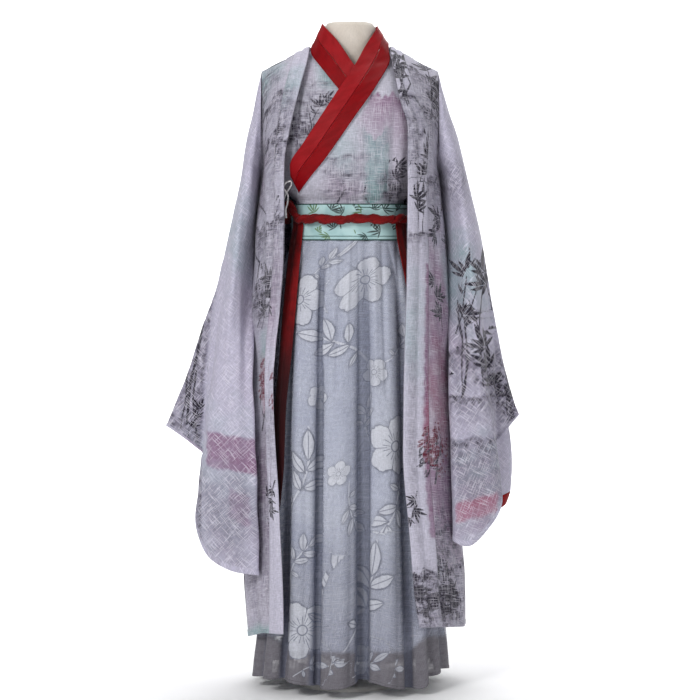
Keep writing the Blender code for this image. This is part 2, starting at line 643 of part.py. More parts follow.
def wall(name, grid, thickness, material, closed=False, normals=None, level=()):
    """A closed solid whose outer side is the grid and whose inner side is the grid moved in.

    Each entry of level is a place in the grid and an axis. There, at a seam, the inner side stays on the same
    plane across that axis, so that the two pieces which meet don't cross.
    """
    grid = np.asarray(grid, float)
    normals = normals_of(grid, closed) if normals is None else normals.copy()
    for where, axis in level:
        normals[where + (axis,)] = 0.0
        part = normals[where]
        normals[where] = part / np.maximum(np.linalg.norm(part, axis=-1, keepdims=True), 1e-12)
    rows, columns = grid.shape[:2]
    inner = grid - normals * thickness
    points = np.concatenate([grid.reshape(-1, 3), inner.reshape(-1, 3)])
    below = rows * columns
    spans = columns if closed else columns - 1
    faces = []
    for r in range(rows - 1):
        for c in range(spans):
            a, b = r * columns + c, r * columns + (c + 1) % columns
            d, e = a + columns, b + columns
            faces.append((a, b, e))
            faces.append((a, e, d))
            faces.append((below + a, below + e, below + b))
            faces.append((below + a, below + d, below + e))
    for c in range(spans):
        a, b = c, (c + 1) % columns
        faces.append((a, below + a, below + b, b))
        a, b = (rows - 1) * columns + a, (rows - 1) * columns + b
        faces.append((a, b, below + b, below + a))
    if not closed:
        for r in range(rows - 1):
            a, b = r * columns, (r + 1) * columns
            faces.append((a, b, below + b, below + a))
            a, b = a + columns - 1, b + columns - 1
            faces.append((a, below + a, below + b, b))
    return add_object(name, points, faces, material)


def lathe(name, profile, material, segments=32):
    """A solid turned about Z, from (radius, z) rows that start and end on the axis."""
    points = [(0.0, 0.0, profile[0][1])]
    ring = [(math.sin(2 * math.pi * k / segments), -math.cos(2 * math.pi * k / segments)) for k in range(segments)]
    for radius, z in profile[1:-1]:
        points += [(radius * x, radius * y, z) for x, y in ring]
    points.append((0.0, 0.0, profile[-1][1]))
    faces = [(0, 1 + (k + 1) % segments, 1 + k) for k in range(segments)]
    for r in range(len(profile) - 3):
        low, high = 1 + r * segments, 1 + (r + 1) * segments
        for k in range(segments):
            n = (k + 1) % segments
            faces.append((low + k, low + n, high + n, high + k))
    top, last = len(points) - 1, 1 + (len(profile) - 3) * segments
    faces += [(last + k, last + (k + 1) % segments, top) for k in range(segments)]
    return add_object(name, points, faces, material)


def rings_solid(name, rings, material, cap_low, cap_high):
    """A solid from closed rings stacked upwards, with a point in the middle of each end."""
    rings = np.asarray(rings, float)
    rows, columns = rings.shape[:2]
    points = [cap_low] + list(rings.reshape(-1, 3)) + [cap_high]
    faces = [(0, 1 + (k + 1) % columns, 1 + k) for k in range(columns)]
    for r in range(rows - 1):
        for k in range(columns):
            n = (k + 1) % columns
            a, b = 1 + r * columns + k, 1 + r * columns + n
            faces.append((a, b, b + columns, a + columns))
    top, last = len(points) - 1, 1 + (rows - 1) * columns
    faces += [(last + k, last + (k + 1) % columns, top) for k in range(columns)]
    return add_object(name, points, faces, material)


def loop_of_rope(name, path, radius, lobe, turns, sides, material):
    """A closed rope with two strands: its section has two lobes that turn as it goes along."""
    path = np.asarray(path, float)
    count = len(path)
    along = np.roll(path, -1, 0) - np.roll(path, 1, 0)
    along /= np.linalg.norm(along, axis=1, keepdims=True)
    outward = np.cross(along, (0.0, 0.0, 1.0))
    outward /= np.linalg.norm(outward, axis=1, keepdims=True)
    upward = np.cross(outward, along)
    points = []
    for i in range(count):
        for k in range(sides):
            a = 2 * math.pi * k / sides
            twist = math.pi * turns * i / count
            r = radius + lobe * math.cos(2 * (a - twist))
            points.append(path[i] + r * (math.cos(a) * outward[i] + math.sin(a) * upward[i]))
    faces = []
    for i in range(count):
        j = (i + 1) % count
        for k in range(sides):
            n = (k + 1) % sides
            faces.append((i * sides + k, j * sides + k, j * sides + n, i * sides + n))
    return add_object(name, points, faces, material)


def cord(name, path, diameter, material):
    """A round cord along the points, closed at both ends."""
    curve = bpy.data.curves.new(name, "CURVE")
    curve.dimensions = "3D"
    curve.bevel_depth = diameter / 2
    curve.bevel_resolution = 2
    curve.use_fill_caps = True
    spline = curve.splines.new("POLY")
    spline.points.add(len(path) - 1)
    for point, place in zip(spline.points, path):
        point.co = (place[0] - MIDDLE_X, place[1] - MIDDLE_Y, place[2] - DATUM, 1.0)
    made = bpy.data.objects.new(name, curve)
    made.data.materials.append(material)
    bpy.context.scene.collection.objects.link(made)
    return made


# ---------------------------------------------------------------- the dress form and its stand
def build_form(materials):
    lathe(
        "stand_base",
        [(0, DATUM), (BASE_RADIUS, DATUM), (BASE_RADIUS, BASE_TOP - 0.003), (BASE_RADIUS - 0.003, BASE_TOP),
         (BOSS_RADIUS, BASE_TOP + 0.003), (BOSS_RADIUS - 0.006, BOSS_TOP), (0, BOSS_TOP)],
        materials["stand"], 28,
    )
    lathe(
        "stand_pole",
        [(0, BOSS_TOP + SEAM_GAP), (POLE_RADIUS, BOSS_TOP + SEAM_GAP), (POLE_RADIUS, FORM_BOTTOM - SEAM_GAP),
         (0, FORM_BOTTOM - SEAM_GAP)],
        materials["stand"], 16,
    )
    rings = []
    for row in FORM:
        rings.append([section_point(FORM, row[0], 360 * k / 22) for k in range(22)])
    rings_solid("form_torso", rings, materials["form"], (0.0, 0.0, FORM_BOTTOM), (0.0, 0.0, FORM[-1][0] + 0.003))


# ---------------------------------------------------------------- the top
def collar_point(row, share):
    """A point between the collar's neck edge and its outer edge, kept clear of the chest under it."""
    point = row[:3] * (1 - share) + row[3:6] * share
    if row[6] > 0.0005:
        point[1] = min(point[1], surface_y(TOP, TOP_SHOULDER, point[0], point[2]) - row[6])
    return point


def over_lift(degrees, v):
    fade = min(max((86 - degrees) / 40, 0.0), 1.0)
    return OVERLAP_LIFT * fade * (1 - v**3)


def build_top(materials):
    level_hem = lambda degrees: TOP[0][0]
    rise = TOP_SHOULDER["underarm"] - TOP[0][0]
    low = [(z - TOP[0][0]) / rise for z in (TOP[0][0], 1.034, 1.048, 1.064, 1.086)]
    under = slice(0, len(low) + 1)
    tops = [0.163, 0.151, 0.136, 0.115, 0.092, 0.070, 0.046, 0.022]
    tops += [0.0] + [-x for x in tops[::-1]]
    grid = back_grid(TOP, TOP_SHOULDER, level_hem, low, 6, tops)
    seams = [((-1, slice(0, 6)), 1), ((-1, slice(-6, None)), 1), ((under, 0), 1), ((under, -1), 1)]
    wall("top_back", grid, GAUZE, materials["top"], level=seams)

    for name, edge, side, lift, columns in (
        ("top_front_under", TOP_EDGE_UNDER, -1, None, 10),
        ("top_front_over", TOP_EDGE_OVER, 1, over_lift, 13),
    ):
        grid = front_grid(TOP, TOP_SHOULDER, edge, side, level_hem, low, 6, columns, even_angle, lift)
        seams = [((-1, slice(None)), 1), ((under, -1 if side > 0 else 0), 1)]
        wall(name, grid, GAUZE, materials["top"], level=seams)

    rows = []
    for nx, ny, nz, ox, oy, oz, out in COLLAR:
        if ny is None:
            ny = surface_y(TOP, TOP_SHOULDER, nx, nz) - out
        if oy is None:
            oy = surface_y(TOP, TOP_SHOULDER, ox, oz) - out
        rows.append((nx, ny, nz, ox, oy, oz, out))
    path = curve_through(rows, COLLAR_STEPS)
    gap_share = SEAM_GAP / 2 / 0.052
    for name, finish, shares in (
        ("top_collar_facing", "collar_inner", (0.5 - gap_share, 0.25, 0.0)),
        ("top_collar", "collar", (1.0, 0.75, 0.5 + gap_share)),
    ):
        grid = np.array([[collar_point(row, share) for row in path] for share in shares])
        wall(name, grid, BAND, materials[finish])

    for side, sections, cuff, word in (
        (-1, UNDER_SLEEVE_LEFT, CUFF_LEFT, "left"),
        (1, UNDER_SLEEVE_RIGHT, CUFF_RIGHT, "right"),
    ):
        ring = armhole_ring(TOP, TOP_SHOULDER, TOP_SHOULDER["tip_x"] + SEAM_GAP, 8, 8)
        grid = plain_sleeve(sections, 8, 16, ring, side)
        wall("top_sleeve_" + word, grid, GAUZE, materials["top"], closed=True, level=[((-1, slice(None)), 0)])
        grid = plain_sleeve(cuff, 2, 16, None, side)
        wall("top_cuff_" + word, grid, BAND, materials["collar"], closed=True)

    cord("top_side_tie", curve_through(SIDE_TIE, 26), TIE_DIAMETER, materials["tie"])


# ---------------------------------------------------------------- the skirt and its sash
def waistband_point(degrees, z, out=0.0):
    a = math.radians(degrees)
    side = WAISTBAND["right" if math.sin(a) > 0 else "left"] + out
    depth = WAISTBAND["front" if math.cos(a) > 0 else "back"] + out
    power = 2 / ROUNDNESS
    return np.array([side * signed_power(math.sin(a), power), -depth * signed_power(math.cos(a), power), z])


def build_skirt(materials):
    rows = (0.0, 0.12, 0.30, 0.52, 0.74, 0.90, 1.0)
    overlay = skirt_grid(hem_level(HEM_OVERLAY), rows)
    wall("skirt_overlay", overlay, GAUZE, materials["overlay"], closed=True, level=[((-1, slice(None)), 2)])
    lining = skirt_grid(hem_level(HEM_LINING), rows)
    normals = normals_of(lining, True)
    normals[-1, :, 2] = 0
    lining = lining - normals * (GAUZE + SKIRT_LAYER_GAP)
    wall("skirt_lining", lining, GAUZE, materials["lining"], closed=True, level=[((-1, slice(None)), 2)])

    band = [[waistband_point(360 * k / 40, z) for k in range(40)] for z in (WAIST_LOW, WAIST_HIGH)]
    wall("skirt_waistband", band, WAISTBAND["wall"], materials["waistband"], closed=True)

    path = []
    for k in range(72):
        degrees = 360 * k / 72
        off = (degrees - SASH_RISE["degrees"] + 180) % 360 - 180
        z = SASH_HEIGHT + SASH_RISE["height"] * math.exp(-((off / SASH_RISE["spread"]) ** 2))
        path.append(waistband_point(degrees, z, SASH_RADIUS + SASH_LOBE + 0.0006))
    loop_of_rope("sash_rope", path, SASH_RADIUS, SASH_LOBE, SASH_TURNS, 6, materials["sash"])

    for name, table in (("sash_tail_left", TAIL_LEFT), ("sash_tail_right", TAIL_RIGHT)):
        grid = []
        for x, z, half, out in curve_through(table, 11)[::-1]:
            row = []
            for u in (-1, 0, 1):
                level = min(z, WAIST_LOW)
                point = section_point(SKIRT, level, degrees_at(SKIRT, level, x + half * u), out)
                row.append((point[0], point[1], z))
            grid.append(row)
        wall(name, grid, TAIL_WALL, materials["sash"])


# ---------------------------------------------------------------- the robe
def build_robe(materials):
    hem = hem_level(ROBE_HEM)
    tops = [0.180, 0.158, 0.130, 0.105, 0.082, 0.055, 0.028, 0.0]
    tops = tops[:-1] + [0.0] + [-x for x in tops[:-1]][::-1]
    low, high = [k / 7 for k in range(7)], 6
    under = slice(0, len(low) + 1)
    grid = back_grid(ROBE, ROBE_SHOULDER, hem, low, high, tops, robe_folds)
    seams = [((-1, slice(0, 5)), 1), ((-1, slice(-5, None)), 1), ((under, 0), 1), ((under, -1), 1)]
    wall("robe_back", grid, GAUZE, materials["robe"], level=seams)

    for word, edge, side in (("left", ROBE_EDGE_LEFT, -1), ("right", ROBE_EDGE_RIGHT, 1)):
        columns = 9
        grid = front_grid(ROBE, ROBE_SHOULDER, edge, side, hem, low, high, columns, lapel_angle, None, robe_folds)
        seams = [((-1, slice(None)), 1), ((under, -1 if side > 0 else 0), 1)]
        wall("robe_front_" + word, grid, GAUZE, materials["robe"], level=seams)
        normals = normals_of(grid)
        normals[-1, :, 1] = 0
        band = slice(0, 3) if side > 0 else slice(-3, None)
        lapel = (grid + normals * (SEAM_GAP + BAND))[:, band]
        wall("robe_lapel_" + word, lapel, BAND, materials["lapel"], normals=normals[:, band],
             level=[((-1, slice(None)), 1)])

    rows = []
    for t in (1.0, 0.5, 0.0):
        row = []
        for k in range(17):
            a = math.radians(90 - 180 * k / 16)
            neck = (ROBE_SHOULDER["neck_x"] * math.sin(a), 0.0)
            neck_z = neckline(ROBE_SHOULDER, neck[0])
            outer_x = 0.129 * math.sin(a)
            outer_z = ridge_height(ROBE_SHOULDER, 0.129) - 0.062 * math.cos(a)
            x = neck[0] * (1 - t) + outer_x * t
            z = neck_z * (1 - t) + outer_z * t
            y = surface_y(ROBE, ROBE_SHOULDER, x, z, behind=True)
            if k in (0, 16):
                y = ROBE_SHOULDER["y"] + SEAM_GAP / 2 + 0.0001
            row.append((x, y, z))
        rows.append(row)
    strip = np.array(rows)
    normals = normals_of(strip)
    for k in (0, -1):
        normals[:, k, 1] = 0
        normals[:, k] /= np.linalg.norm(normals[:, k], axis=-1, keepdims=True)
    strip = strip + normals * (SEAM_GAP + BAND + LOOSE)
    wall("robe_neckband", strip, BAND, materials["lapel"], normals=normals)

    for word, side, sections, mouth in (
        ("left", -1, SLEEVE_LEFT, MOUTH_LEFT),
        ("right", 1, SLEEVE_RIGHT, MOUTH_RIGHT),
    ):
        front = MOUTH_SEAM * 2
        ring = armhole_ring(ROBE, ROBE_SHOULDER, 0.1812, front, len(mouth) * 2 - front)
        grid = pleated_sleeve(sections, mouth, SLEEVE_STEPS, 2, ring, side)
        wall("robe_sleeve_" + word, grid, GAUZE, materials["robe"], closed=True, level=[((-1, slice(None)), 0)])


def main():
    clear_scene()
    materials = {
        "form": finish_of("undyed_jersey", (0.74, 0.69, 0.61), 0.9),
        "stand": finish_of("powder_coated_steel", (0.78, 0.77, 0.75), 0.5),
        "robe": finish_of("printed_gauze", (0.60, 0.58, 0.66), 0.75),
        "lapel": finish_of("printed_gauze_band", (0.56, 0.56, 0.62), 0.7),
        "top": finish_of("lavender_gauze", (0.62, 0.58, 0.67), 0.75),
        "collar": finish_of("crimson_satin", (0.27, 0.002, 0.004), 0.45),
        "collar_inner": finish_of("coral_satin", (0.37, 0.024, 0.033), 0.5),
        "tie": finish_of("white_cotton_cord", (0.80, 0.80, 0.80), 0.8),
        "lining": finish_of("pale_blue_lining", (0.62, 0.66, 0.72), 0.7),
        "overlay": finish_of("burnout_organza", (0.58, 0.60, 0.64), 0.6),
        "waistband": finish_of("mint_satin", (0.40, 0.65, 0.60), 0.45),
        "sash": finish_of("red_satin_sash", (0.33, 0.008, 0.013), 0.5),
    }
    build_form(materials)
    build_top(materials)
    build_skirt(materials)
    build_robe(materials)


main()
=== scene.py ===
# %% [markdown]
# # A hanfu set on its dress form
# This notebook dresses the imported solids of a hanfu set: a printed cross-collar top, a two-layer pleated
# skirt, a twisted sash and an open robe with wide sleeves. A cell makes a piece, a finish or a tool for them.
# Everything is in metres, the front faces -Y, and "left" and "right" are those of someone who looks at the
# front.

# %% Load the solids as the frame
import math
from functools import partial, reduce

import bpy
import numpy as np
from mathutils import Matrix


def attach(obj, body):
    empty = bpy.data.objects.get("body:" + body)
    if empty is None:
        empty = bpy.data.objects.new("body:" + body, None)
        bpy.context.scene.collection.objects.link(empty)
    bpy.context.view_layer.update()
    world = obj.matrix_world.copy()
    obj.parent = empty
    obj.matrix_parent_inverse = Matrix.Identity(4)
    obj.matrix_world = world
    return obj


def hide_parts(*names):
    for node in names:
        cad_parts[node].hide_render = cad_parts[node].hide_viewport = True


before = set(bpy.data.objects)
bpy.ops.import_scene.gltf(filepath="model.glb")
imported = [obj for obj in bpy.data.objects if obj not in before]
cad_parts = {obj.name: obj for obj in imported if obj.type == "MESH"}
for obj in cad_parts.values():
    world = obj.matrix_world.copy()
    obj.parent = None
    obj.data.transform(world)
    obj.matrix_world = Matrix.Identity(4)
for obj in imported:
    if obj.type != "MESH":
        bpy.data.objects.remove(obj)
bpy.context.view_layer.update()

# %% [markdown]
# ## The camera comes first
# The camera is made first, since creases and prints below are placed by where it sees them. One of the pieces
# is a free cord, and its place is judged against the view, so the camera is made before it.
# It stands about 4.8 m away, a little above half the set's height, and looks slightly down. A long lens
# keeps the upright lines of the cloth upright.

# %% Camera
MIDDLE = (0.01492, -0.0086, 0.6907)
CAMERA_BACK = 4.8
CAMERA_HEIGHT = 0.94
VIEW_WIDTH = 1.442  # what the lens takes in at the middle of the set

view = bpy.data.cameras.new("front_view")
view.angle = 2 * math.atan(VIEW_WIDTH / 2 / CAMERA_BACK)
camera = bpy.data.objects.new("front_view", view)
bpy.context.scene.collection.objects.link(camera)
camera.location = (MIDDLE[0], MIDDLE[1] - CAMERA_BACK, CAMERA_HEIGHT)
drop = math.atan2(CAMERA_HEIGHT - MIDDLE[2], CAMERA_BACK)
camera.rotation_euler = (math.pi / 2 - drop, 0, 0)
bpy.context.scene.camera = camera
print("camera", tuple(round(value, 3) for value in camera.location))

# %% [markdown]
# ## Curves through tables
# Every garment here is a surface round a standing body. Short tables give its measures at a few heights, in
# millimetres, and curves through their rows give what lies between. One kind of curve keeps within the rows'
# values, which suits body sections. The other is a Catmull-Rom curve, which suits paths in space.

# %% Curves
def mm(*rows):
    return np.array(rows, float) / 1000


def smooth(table, column, at):
    """The table's column at values of its first one, on a curve that never overshoots the rows."""
    z, v = table[:, 0], table[:, column]
    step, rise = np.diff(z), np.diff(v) / np.diff(z)
    both = rise[:-1] * rise[1:]
    slope = np.zeros(len(z))
    slope[1:-1] = np.where(both > 0, 2 * both / np.where(both > 0, rise[:-1] + rise[1:], 1), 0)
    i = np.clip(np.searchsorted(z, at) - 1, 0, len(z) - 2)
    t = np.clip((at - z[i]) / step[i], 0, 1)
    ends = v[i] * (2 * t**3 - 3 * t**2 + 1) + v[i + 1] * (3 * t**2 - 2 * t**3)
    return ends + step[i] * (slope[i] * (t**3 - 2 * t**2 + t) + slope[i + 1] * (t**3 - t**2))


def catmull(points, s, closed=False):
    """Points at places s, counted in spans, on a Catmull-Rom curve through the given ones."""
    p = np.asarray(points, float)
    ends = (p[-1:], p[:2]) if closed else (2 * p[:1] - p[1:2], 2 * p[-1:] - p[-2:-1])
    p = np.concatenate([ends[0], p, ends[1]])
    i = np.minimum(s.astype(int), len(p) - 4)
    t = (s - i).reshape(-1, *[1] * (p.ndim - 1))
    a, b, c, d = (p[i + k] for k in range(4))
    return b + 0.5 * t * (c - a + t * (2 * a - 5 * b + 4 * c - d + t * (3 * (b - c) + d - a)))


def curve_through(points, count, closed=False):
    spans = len(points) if closed else len(points) - 1
    return catmull(points, spans * np.arange(count) / (count if closed else count - 1), closed)


def smooth_step(value, low, high):
    t = np.clip((value - low) / (high - low), 0, 1)
    return t * t * (3 - 2 * t)


# %% [markdown]
# ## Level sections and shoulders
# A level section of the body is a superellipse: rounder than a box and fuller than an ellipse. Its table
# gives the half widths to the left and right and the depths to the front and back. Above the chest the cloth
# leans in and rounds over to the shoulder line, where front and back are sewn together. These are the
# measures that the solids were built from, so the fine cloth lies where the solids are. Heights in the tables
# start 40 mm under the floor, and SHIFT brings a point into the frame.

# %% Sections
SHIFT = np.array((0.01492, -0.0086, -0.04))
SEAM_GAP = 0.0003
HALF_GAP = 0.00025  # half of what is left open in a seam between two solids
GAUZE = 0.0015  # wall of the robe, the top and the skirt
BAND = 0.0016  # wall of a lapel or collar strip
LOOSE = 0.0022  # room left between a strip and what it lies on, where their grids differ
ROUNDNESS = 2.2  # exponent of the superellipse
CHEST = 1.19  # above this level a garment rounds over to its shoulder line
SHOULDER_SLOPE = 0.5


def signed_power(value, power):
    return np.copysign(abs(value) ** power, value)


def half(table, z, plus, columns=(1, 2)):
    """The half width on the plus side or the other; with columns 4 and 3, the depth in front or behind."""
    return np.where(plus, smooth(table, columns[1], z), smooth(table, columns[0], z))


def section_point(table, z, degrees, out=0.0):
    """Points of level sections at heights z, at angles seen from above: 0 in front, 90 on the +X side."""
    s, c = np.sin(np.radians(degrees)), np.cos(np.radians(degrees))
    x = (half(table, z, s > 0) + out) * signed_power(s, 2 / ROUNDNESS)
    y = -(half(table, z, c > 0, (4, 3)) + out) * signed_power(c, 2 / ROUNDNESS)
    return np.stack(np.broadcast_arrays(x, y, z), -1)


def degrees_at(table, z, x):
    """The angle at which the front of the level section reaches x."""
    share = np.minimum(abs(x) / half(table, z, x > 0), 1.0)
    return np.copysign(np.degrees(np.arcsin(share ** (ROUNDNESS / 2))), x)


def ridge_height(shoulder, x):
    return shoulder["neck_z"] + SHOULDER_SLOPE * (shoulder["neck_x"] - abs(x))


def neckline(shoulder, x):
    """How high the cloth reaches behind: the shoulder line, or between its inner ends the neckline."""
    dip = (shoulder["nape"] - shoulder["neck_z"]) * (1 - (x / shoulder["neck_x"]) ** 2)
    return np.where(abs(x) >= shoulder["neck_x"], ridge_height(shoulder, x), shoulder["neck_z"] + dip)


def surface_y(table, shoulder, x, z, behind=False):
    """Where the garment's surface lies, from front to back, at x and z."""
    level, sign = np.minimum(z, CHEST), 1 if behind else -1
    share = np.maximum(1 - (abs(x) / half(table, level, x > 0)) ** ROUNDNESS, 0.0) ** (1 / ROUNDNESS)
    depth = sign * smooth(table, 4 if behind else 3, level) * share
    v = np.clip((z - CHEST) / np.maximum(ridge_height(shoulder, x) - CHEST, 1e-6), 0, 1)
    power = shoulder["round"][int(behind)]
    return shoulder["y"] + (depth - shoulder["y"]) * (1 - v**power) ** (1 / power)


# %% Fronts and backs
def upper_point(table, shoulder, across, v, top, edge, side):
    """Where a column stands above the underarm, a share v of its way up to its top."""
    under, tip = shoulder["underarm"], shoulder["tip_x"]
    z, z_out = under + v * (top - under), under + v * (ridge_height(shoulder, tip) - under)
    level, level_out = np.minimum(z, CHEST), np.minimum(z_out, CHEST)
    armhole = smooth(table, 2, level_out)
    armhole = np.where(z_out <= under, armhole, np.minimum(tip, armhole))
    start = 0.0 if edge is None else degrees_at(table, level, smooth(edge, 1, z))
    angle = across(start, side * abs(degrees_at(table, level_out, armhole)), z)
    return half(table, level, angle > 0) * signed_power(np.sin(np.radians(angle)), 2 / ROUNDNESS), z


def upper_shares(rows):
    """Rows above the underarm, closer together towards the shoulder line, where the cloth turns."""
    return np.sin(0.5 * math.pi * np.arange(rows + 1) / rows)[:, None]


def front_grid(table, shoulder, edge, side, hem, low, high_rows, columns, spread, lift=None, folds=None):
    """A front, from its inner edge to its side seam and armhole, and from its hem to the shoulder line.

    low holds the rows below the underarm, as shares of the way up from the hem."""
    c, t = np.arange(columns), np.array(low)[:, None]
    across = lambda start, end, z: spread(c, columns, start, end, side, z)
    z = shoulder["underarm"] * t + hem(0.0) * (1 - t) + 0 * c
    for _ in range(3):
        angle = across(degrees_at(table, z, smooth(edge, 1, z)), 90 * side, z)
        z = shoulder["underarm"] * t + hem(angle) * (1 - t)
    out = (folds(angle, z) if folds else 0) + (lift(angle, 0.0) if lift else 0)
    lower = section_point(table, z, angle, out)
    lower[:, -1, 1] = -HALF_GAP
    top, v = shoulder["neck_z"] + 0 * c, upper_shares(high_rows)
    for _ in range(6):
        top = ridge_height(shoulder, upper_point(table, shoulder, across, 1.0, top, edge, side)[0])
    x, z = upper_point(table, shoulder, across, v, top, edge, side)
    y = surface_y(table, shoulder, x, z)
    if lift:
        y -= lift(degrees_at(table, np.minimum(z, CHEST), x), v)
    y[-1], y[0, -1] = shoulder["y"] - HALF_GAP, -HALF_GAP
    grid = np.concatenate([lower, np.stack([x, y, z], -1)])
    return grid if side > 0 else grid[:, ::-1]


def back_grid(table, shoulder, hem, low, high_rows, tops, folds=None):
    """The back between the side seams; tops holds where its columns end at the shoulder line or neckline."""
    tops, t = np.array([*tops, 0.0, *[-x for x in tops[::-1]]]), np.array(low)[:, None]
    ratio = degrees_at(table, CHEST, tops) / degrees_at(table, CHEST, shoulder["tip_x"])
    z = shoulder["underarm"] * t + hem(180 - 90 * ratio) * (1 - t)
    lower = section_point(table, z, 180 - 90 * ratio, folds(180 - 90 * ratio, z) if folds else 0)
    lower[:, (0, -1), 1] = HALF_GAP
    x, z = upper_point(table, shoulder, lambda start, end, z: end * abs(ratio), upper_shares(high_rows),
                       neckline(shoulder, tops), None, np.where(ratio > 0, 1, -1))
    y = surface_y(table, shoulder, x, z, behind=True)
    y[-1, abs(tops) >= shoulder["neck_x"] - 1e-6] = shoulder["y"] + HALF_GAP
    y[0, (0, -1)] = HALF_GAP
    return np.concatenate([lower, np.stack([x, y, z], -1)])


def hem_level(*rows):
    """A hem that rises and falls: from rows of degrees and height in mm, its height at an angle."""
    table = np.array(rows) * (1, 0.001)
    return lambda degrees: smooth(table, 1, table[0, 0] + (degrees - table[0, 0]) % 360)


# %% [markdown]
# A sleeve is a tube of rings from the armhole down. A section's table row holds where its top fold and the
# seam under the arm are seen from the front, its half depth, and either where its middle is from front to
# back, or how far its hanging pleat is made.

# %% Sleeves
def round_angles(front, back):
    """Even steps of angle from the top fold along the front to the seam, and on behind."""
    return math.pi * np.concatenate([np.arange(front) / front, 1 + np.arange(back) / back])


def turned(ring, side):
    """A sleeve's ring, mirrored and turned round on the -X side, so that its normals stay outward."""
    return ring if side > 0 else np.roll((ring * (-1, 1, 1))[::-1], 1, axis=0)


def armhole_ring(table, shoulder, x, angles):
    high = ridge_height(shoulder, shoulder["tip_x"])
    z = (high + shoulder["underarm"]) / 2 + (high - shoulder["underarm"]) / 2 * np.cos(angles)
    front, back = (surface_y(table, shoulder, shoulder["tip_x"], z, behind) for behind in (False, True))
    return np.stack([x + 0 * z, np.where(angles > math.pi, back, front), z], -1)


def sleeve_rings(sections, steps, angles, first_ring, side, outline=None):
    """Without a first ring this is a length of the same tube; an outline gives the mouth's pleated shape."""
    even = (1 - np.cos(angles)) / 2
    plain = np.stack([even, -np.sin(angles), even])
    rings = [] if first_ring is None else [first_ring]
    for fold_x, fold_z, seam_x, seam_z, depth, last in curve_through(sections, steps):
        pleat = 0 if outline is None else min(max(last, 0.0), 1.0)
        across, out, down = plain if outline is None else plain * (1 - pleat) + outline * pleat
        middle = last if outline is None else 0.004 * (1 - pleat)
        ring = [fold_x + (seam_x - fold_x) * across, out * depth + middle, fold_z + (seam_z - fold_z) * down]
        rings.append(np.stack(ring, -1))
    return np.array([turned(ring, side) for ring in rings][::-1])


# %% [markdown]
# ## From a coarse grid to cloth
# A surface worked out at a few hundred points is enough for its form. The cloth needs many more, because
# creases and prints live on its points. Resampling along smooth curves, at even lengths, adds them without
# changing the form. Each point also gets its place on the flat cloth, in metres, which serves as the UV map:
# a weave laid out in those coordinates has its real thread spacing everywhere.

# %% Finer grids
def resample(grid, count, closed=False):
    """The grid with count rows at even lengths."""
    ring = np.concatenate([grid, grid[:1]]) if closed else grid
    along = np.concatenate([[0.0], np.cumsum(np.linalg.norm(np.diff(ring, axis=0), axis=2).mean(axis=1))])
    wanted = np.linspace(0, along[-1], count + 1 if closed else count)[:count]
    return catmull(grid, np.interp(wanted, along, np.arange(len(along))), closed)


def finer(grid, rows, columns, closed=False):
    tall = resample(np.asarray(grid, float), rows)
    return resample(tall.transpose(1, 0, 2), columns, closed).transpose(1, 0, 2)


def normals_of(grid, closed=False):
    along = np.roll(grid, -1, 1) - np.roll(grid, 1, 1) if closed else np.gradient(grid, axis=1)
    n = np.cross(along, np.gradient(grid, axis=0))
    return n / np.maximum(np.linalg.norm(n, axis=2, keepdims=True), 1e-12)


def grid_mesh(name, grid, closed=False):
    """A mesh of quads from a grid of points, and the row and first column of each quad."""
    rows, columns = grid.shape[:2]
    r, c = np.meshgrid(np.arange(rows - 1), np.arange(columns - (not closed)), indexing="ij")
    after = (c + 1) % columns
    low, high = r * columns, (r + 1) * columns
    corners = np.stack([low + c, low + after, high + after, high + c], -1)
    mesh = bpy.data.meshes.new(name)
    mesh.from_pydata(grid.reshape(-1, 3).tolist(), [], corners.reshape(-1, 4).tolist())
    made = bpy.data.objects.new(name, mesh)
    bpy.context.scene.collection.objects.link(made)
    return made, r, c


# %% [markdown]
# ### The threads of a tube
# On a sleeve that is cut in one piece, the threads run on round its fold. Blender's unwrap finds how such a
# tube lies flat once it is cut open. It works on a coarse copy, and the places between are interpolated.

# %% Unrolling a tube
def unrolled(grid):
    """Where the points of a tube, cut open at its first column, lie when it is flat."""
    rows, columns = grid.shape[:2]
    i, j = np.linspace(0, rows - 1, 40).astype(int), np.linspace(0, columns, 50).astype(int)
    coarse = np.concatenate([grid, grid[:, :1]], axis=1)[i][:, j]
    made, r, c = grid_mesh("coarse", coarse)
    corners = np.stack([r * 50 + c, r * 50 + c + 1, r * 50 + c + 51, r * 50 + c + 50], -1)
    made.data.uv_layers.new(name="flat")
    bpy.context.view_layer.objects.active = made
    bpy.ops.object.mode_set(mode="EDIT")
    bpy.ops.mesh.select_all(action="SELECT")
    bpy.ops.uv.unwrap(method="MINIMUM_STRETCH", margin=0.0)
    bpy.ops.object.mode_set(mode="OBJECT")
    found, flat = np.empty(corners.size * 2), np.empty(coarse[..., 0].size, complex)
    made.data.uv_layers["flat"].data.foreach_get("uv", found)
    flat[corners.ravel()] = found.reshape(-1, 2) @ (1, 1j)
    bpy.data.meshes.remove(made.data)
    # Turn and size the places to agree with the tube's front. A complex number does both in one product.
    real, ahead = (coarse[..., 0] + 1j * coarse[..., 2]).ravel(), (normals_of(coarse)[..., 1] < -0.8).ravel()
    fits = []
    for way in (flat, flat.conj()):
        near, there = way - way[ahead].mean(), real[ahead] - real[ahead].mean()
        by = (near[ahead].conj() @ there) / (near[ahead].conj() @ near[ahead]).real
        fits.append((abs(near[ahead] * by - there).mean(), near * by))
    off, flat = min(fits, key=lambda fit: fit[0])
    wide = np.array([np.interp(np.arange(columns + 1), j, row) for row in flat.reshape(40, 50)])
    tall = np.array([np.interp(np.arange(rows), i, column) for column in wide.T]).T
    print("unrolled, off by", round(1000 * float(off), 1), "mm in front")
    return np.stack([tall.real, tall.imag], -1)


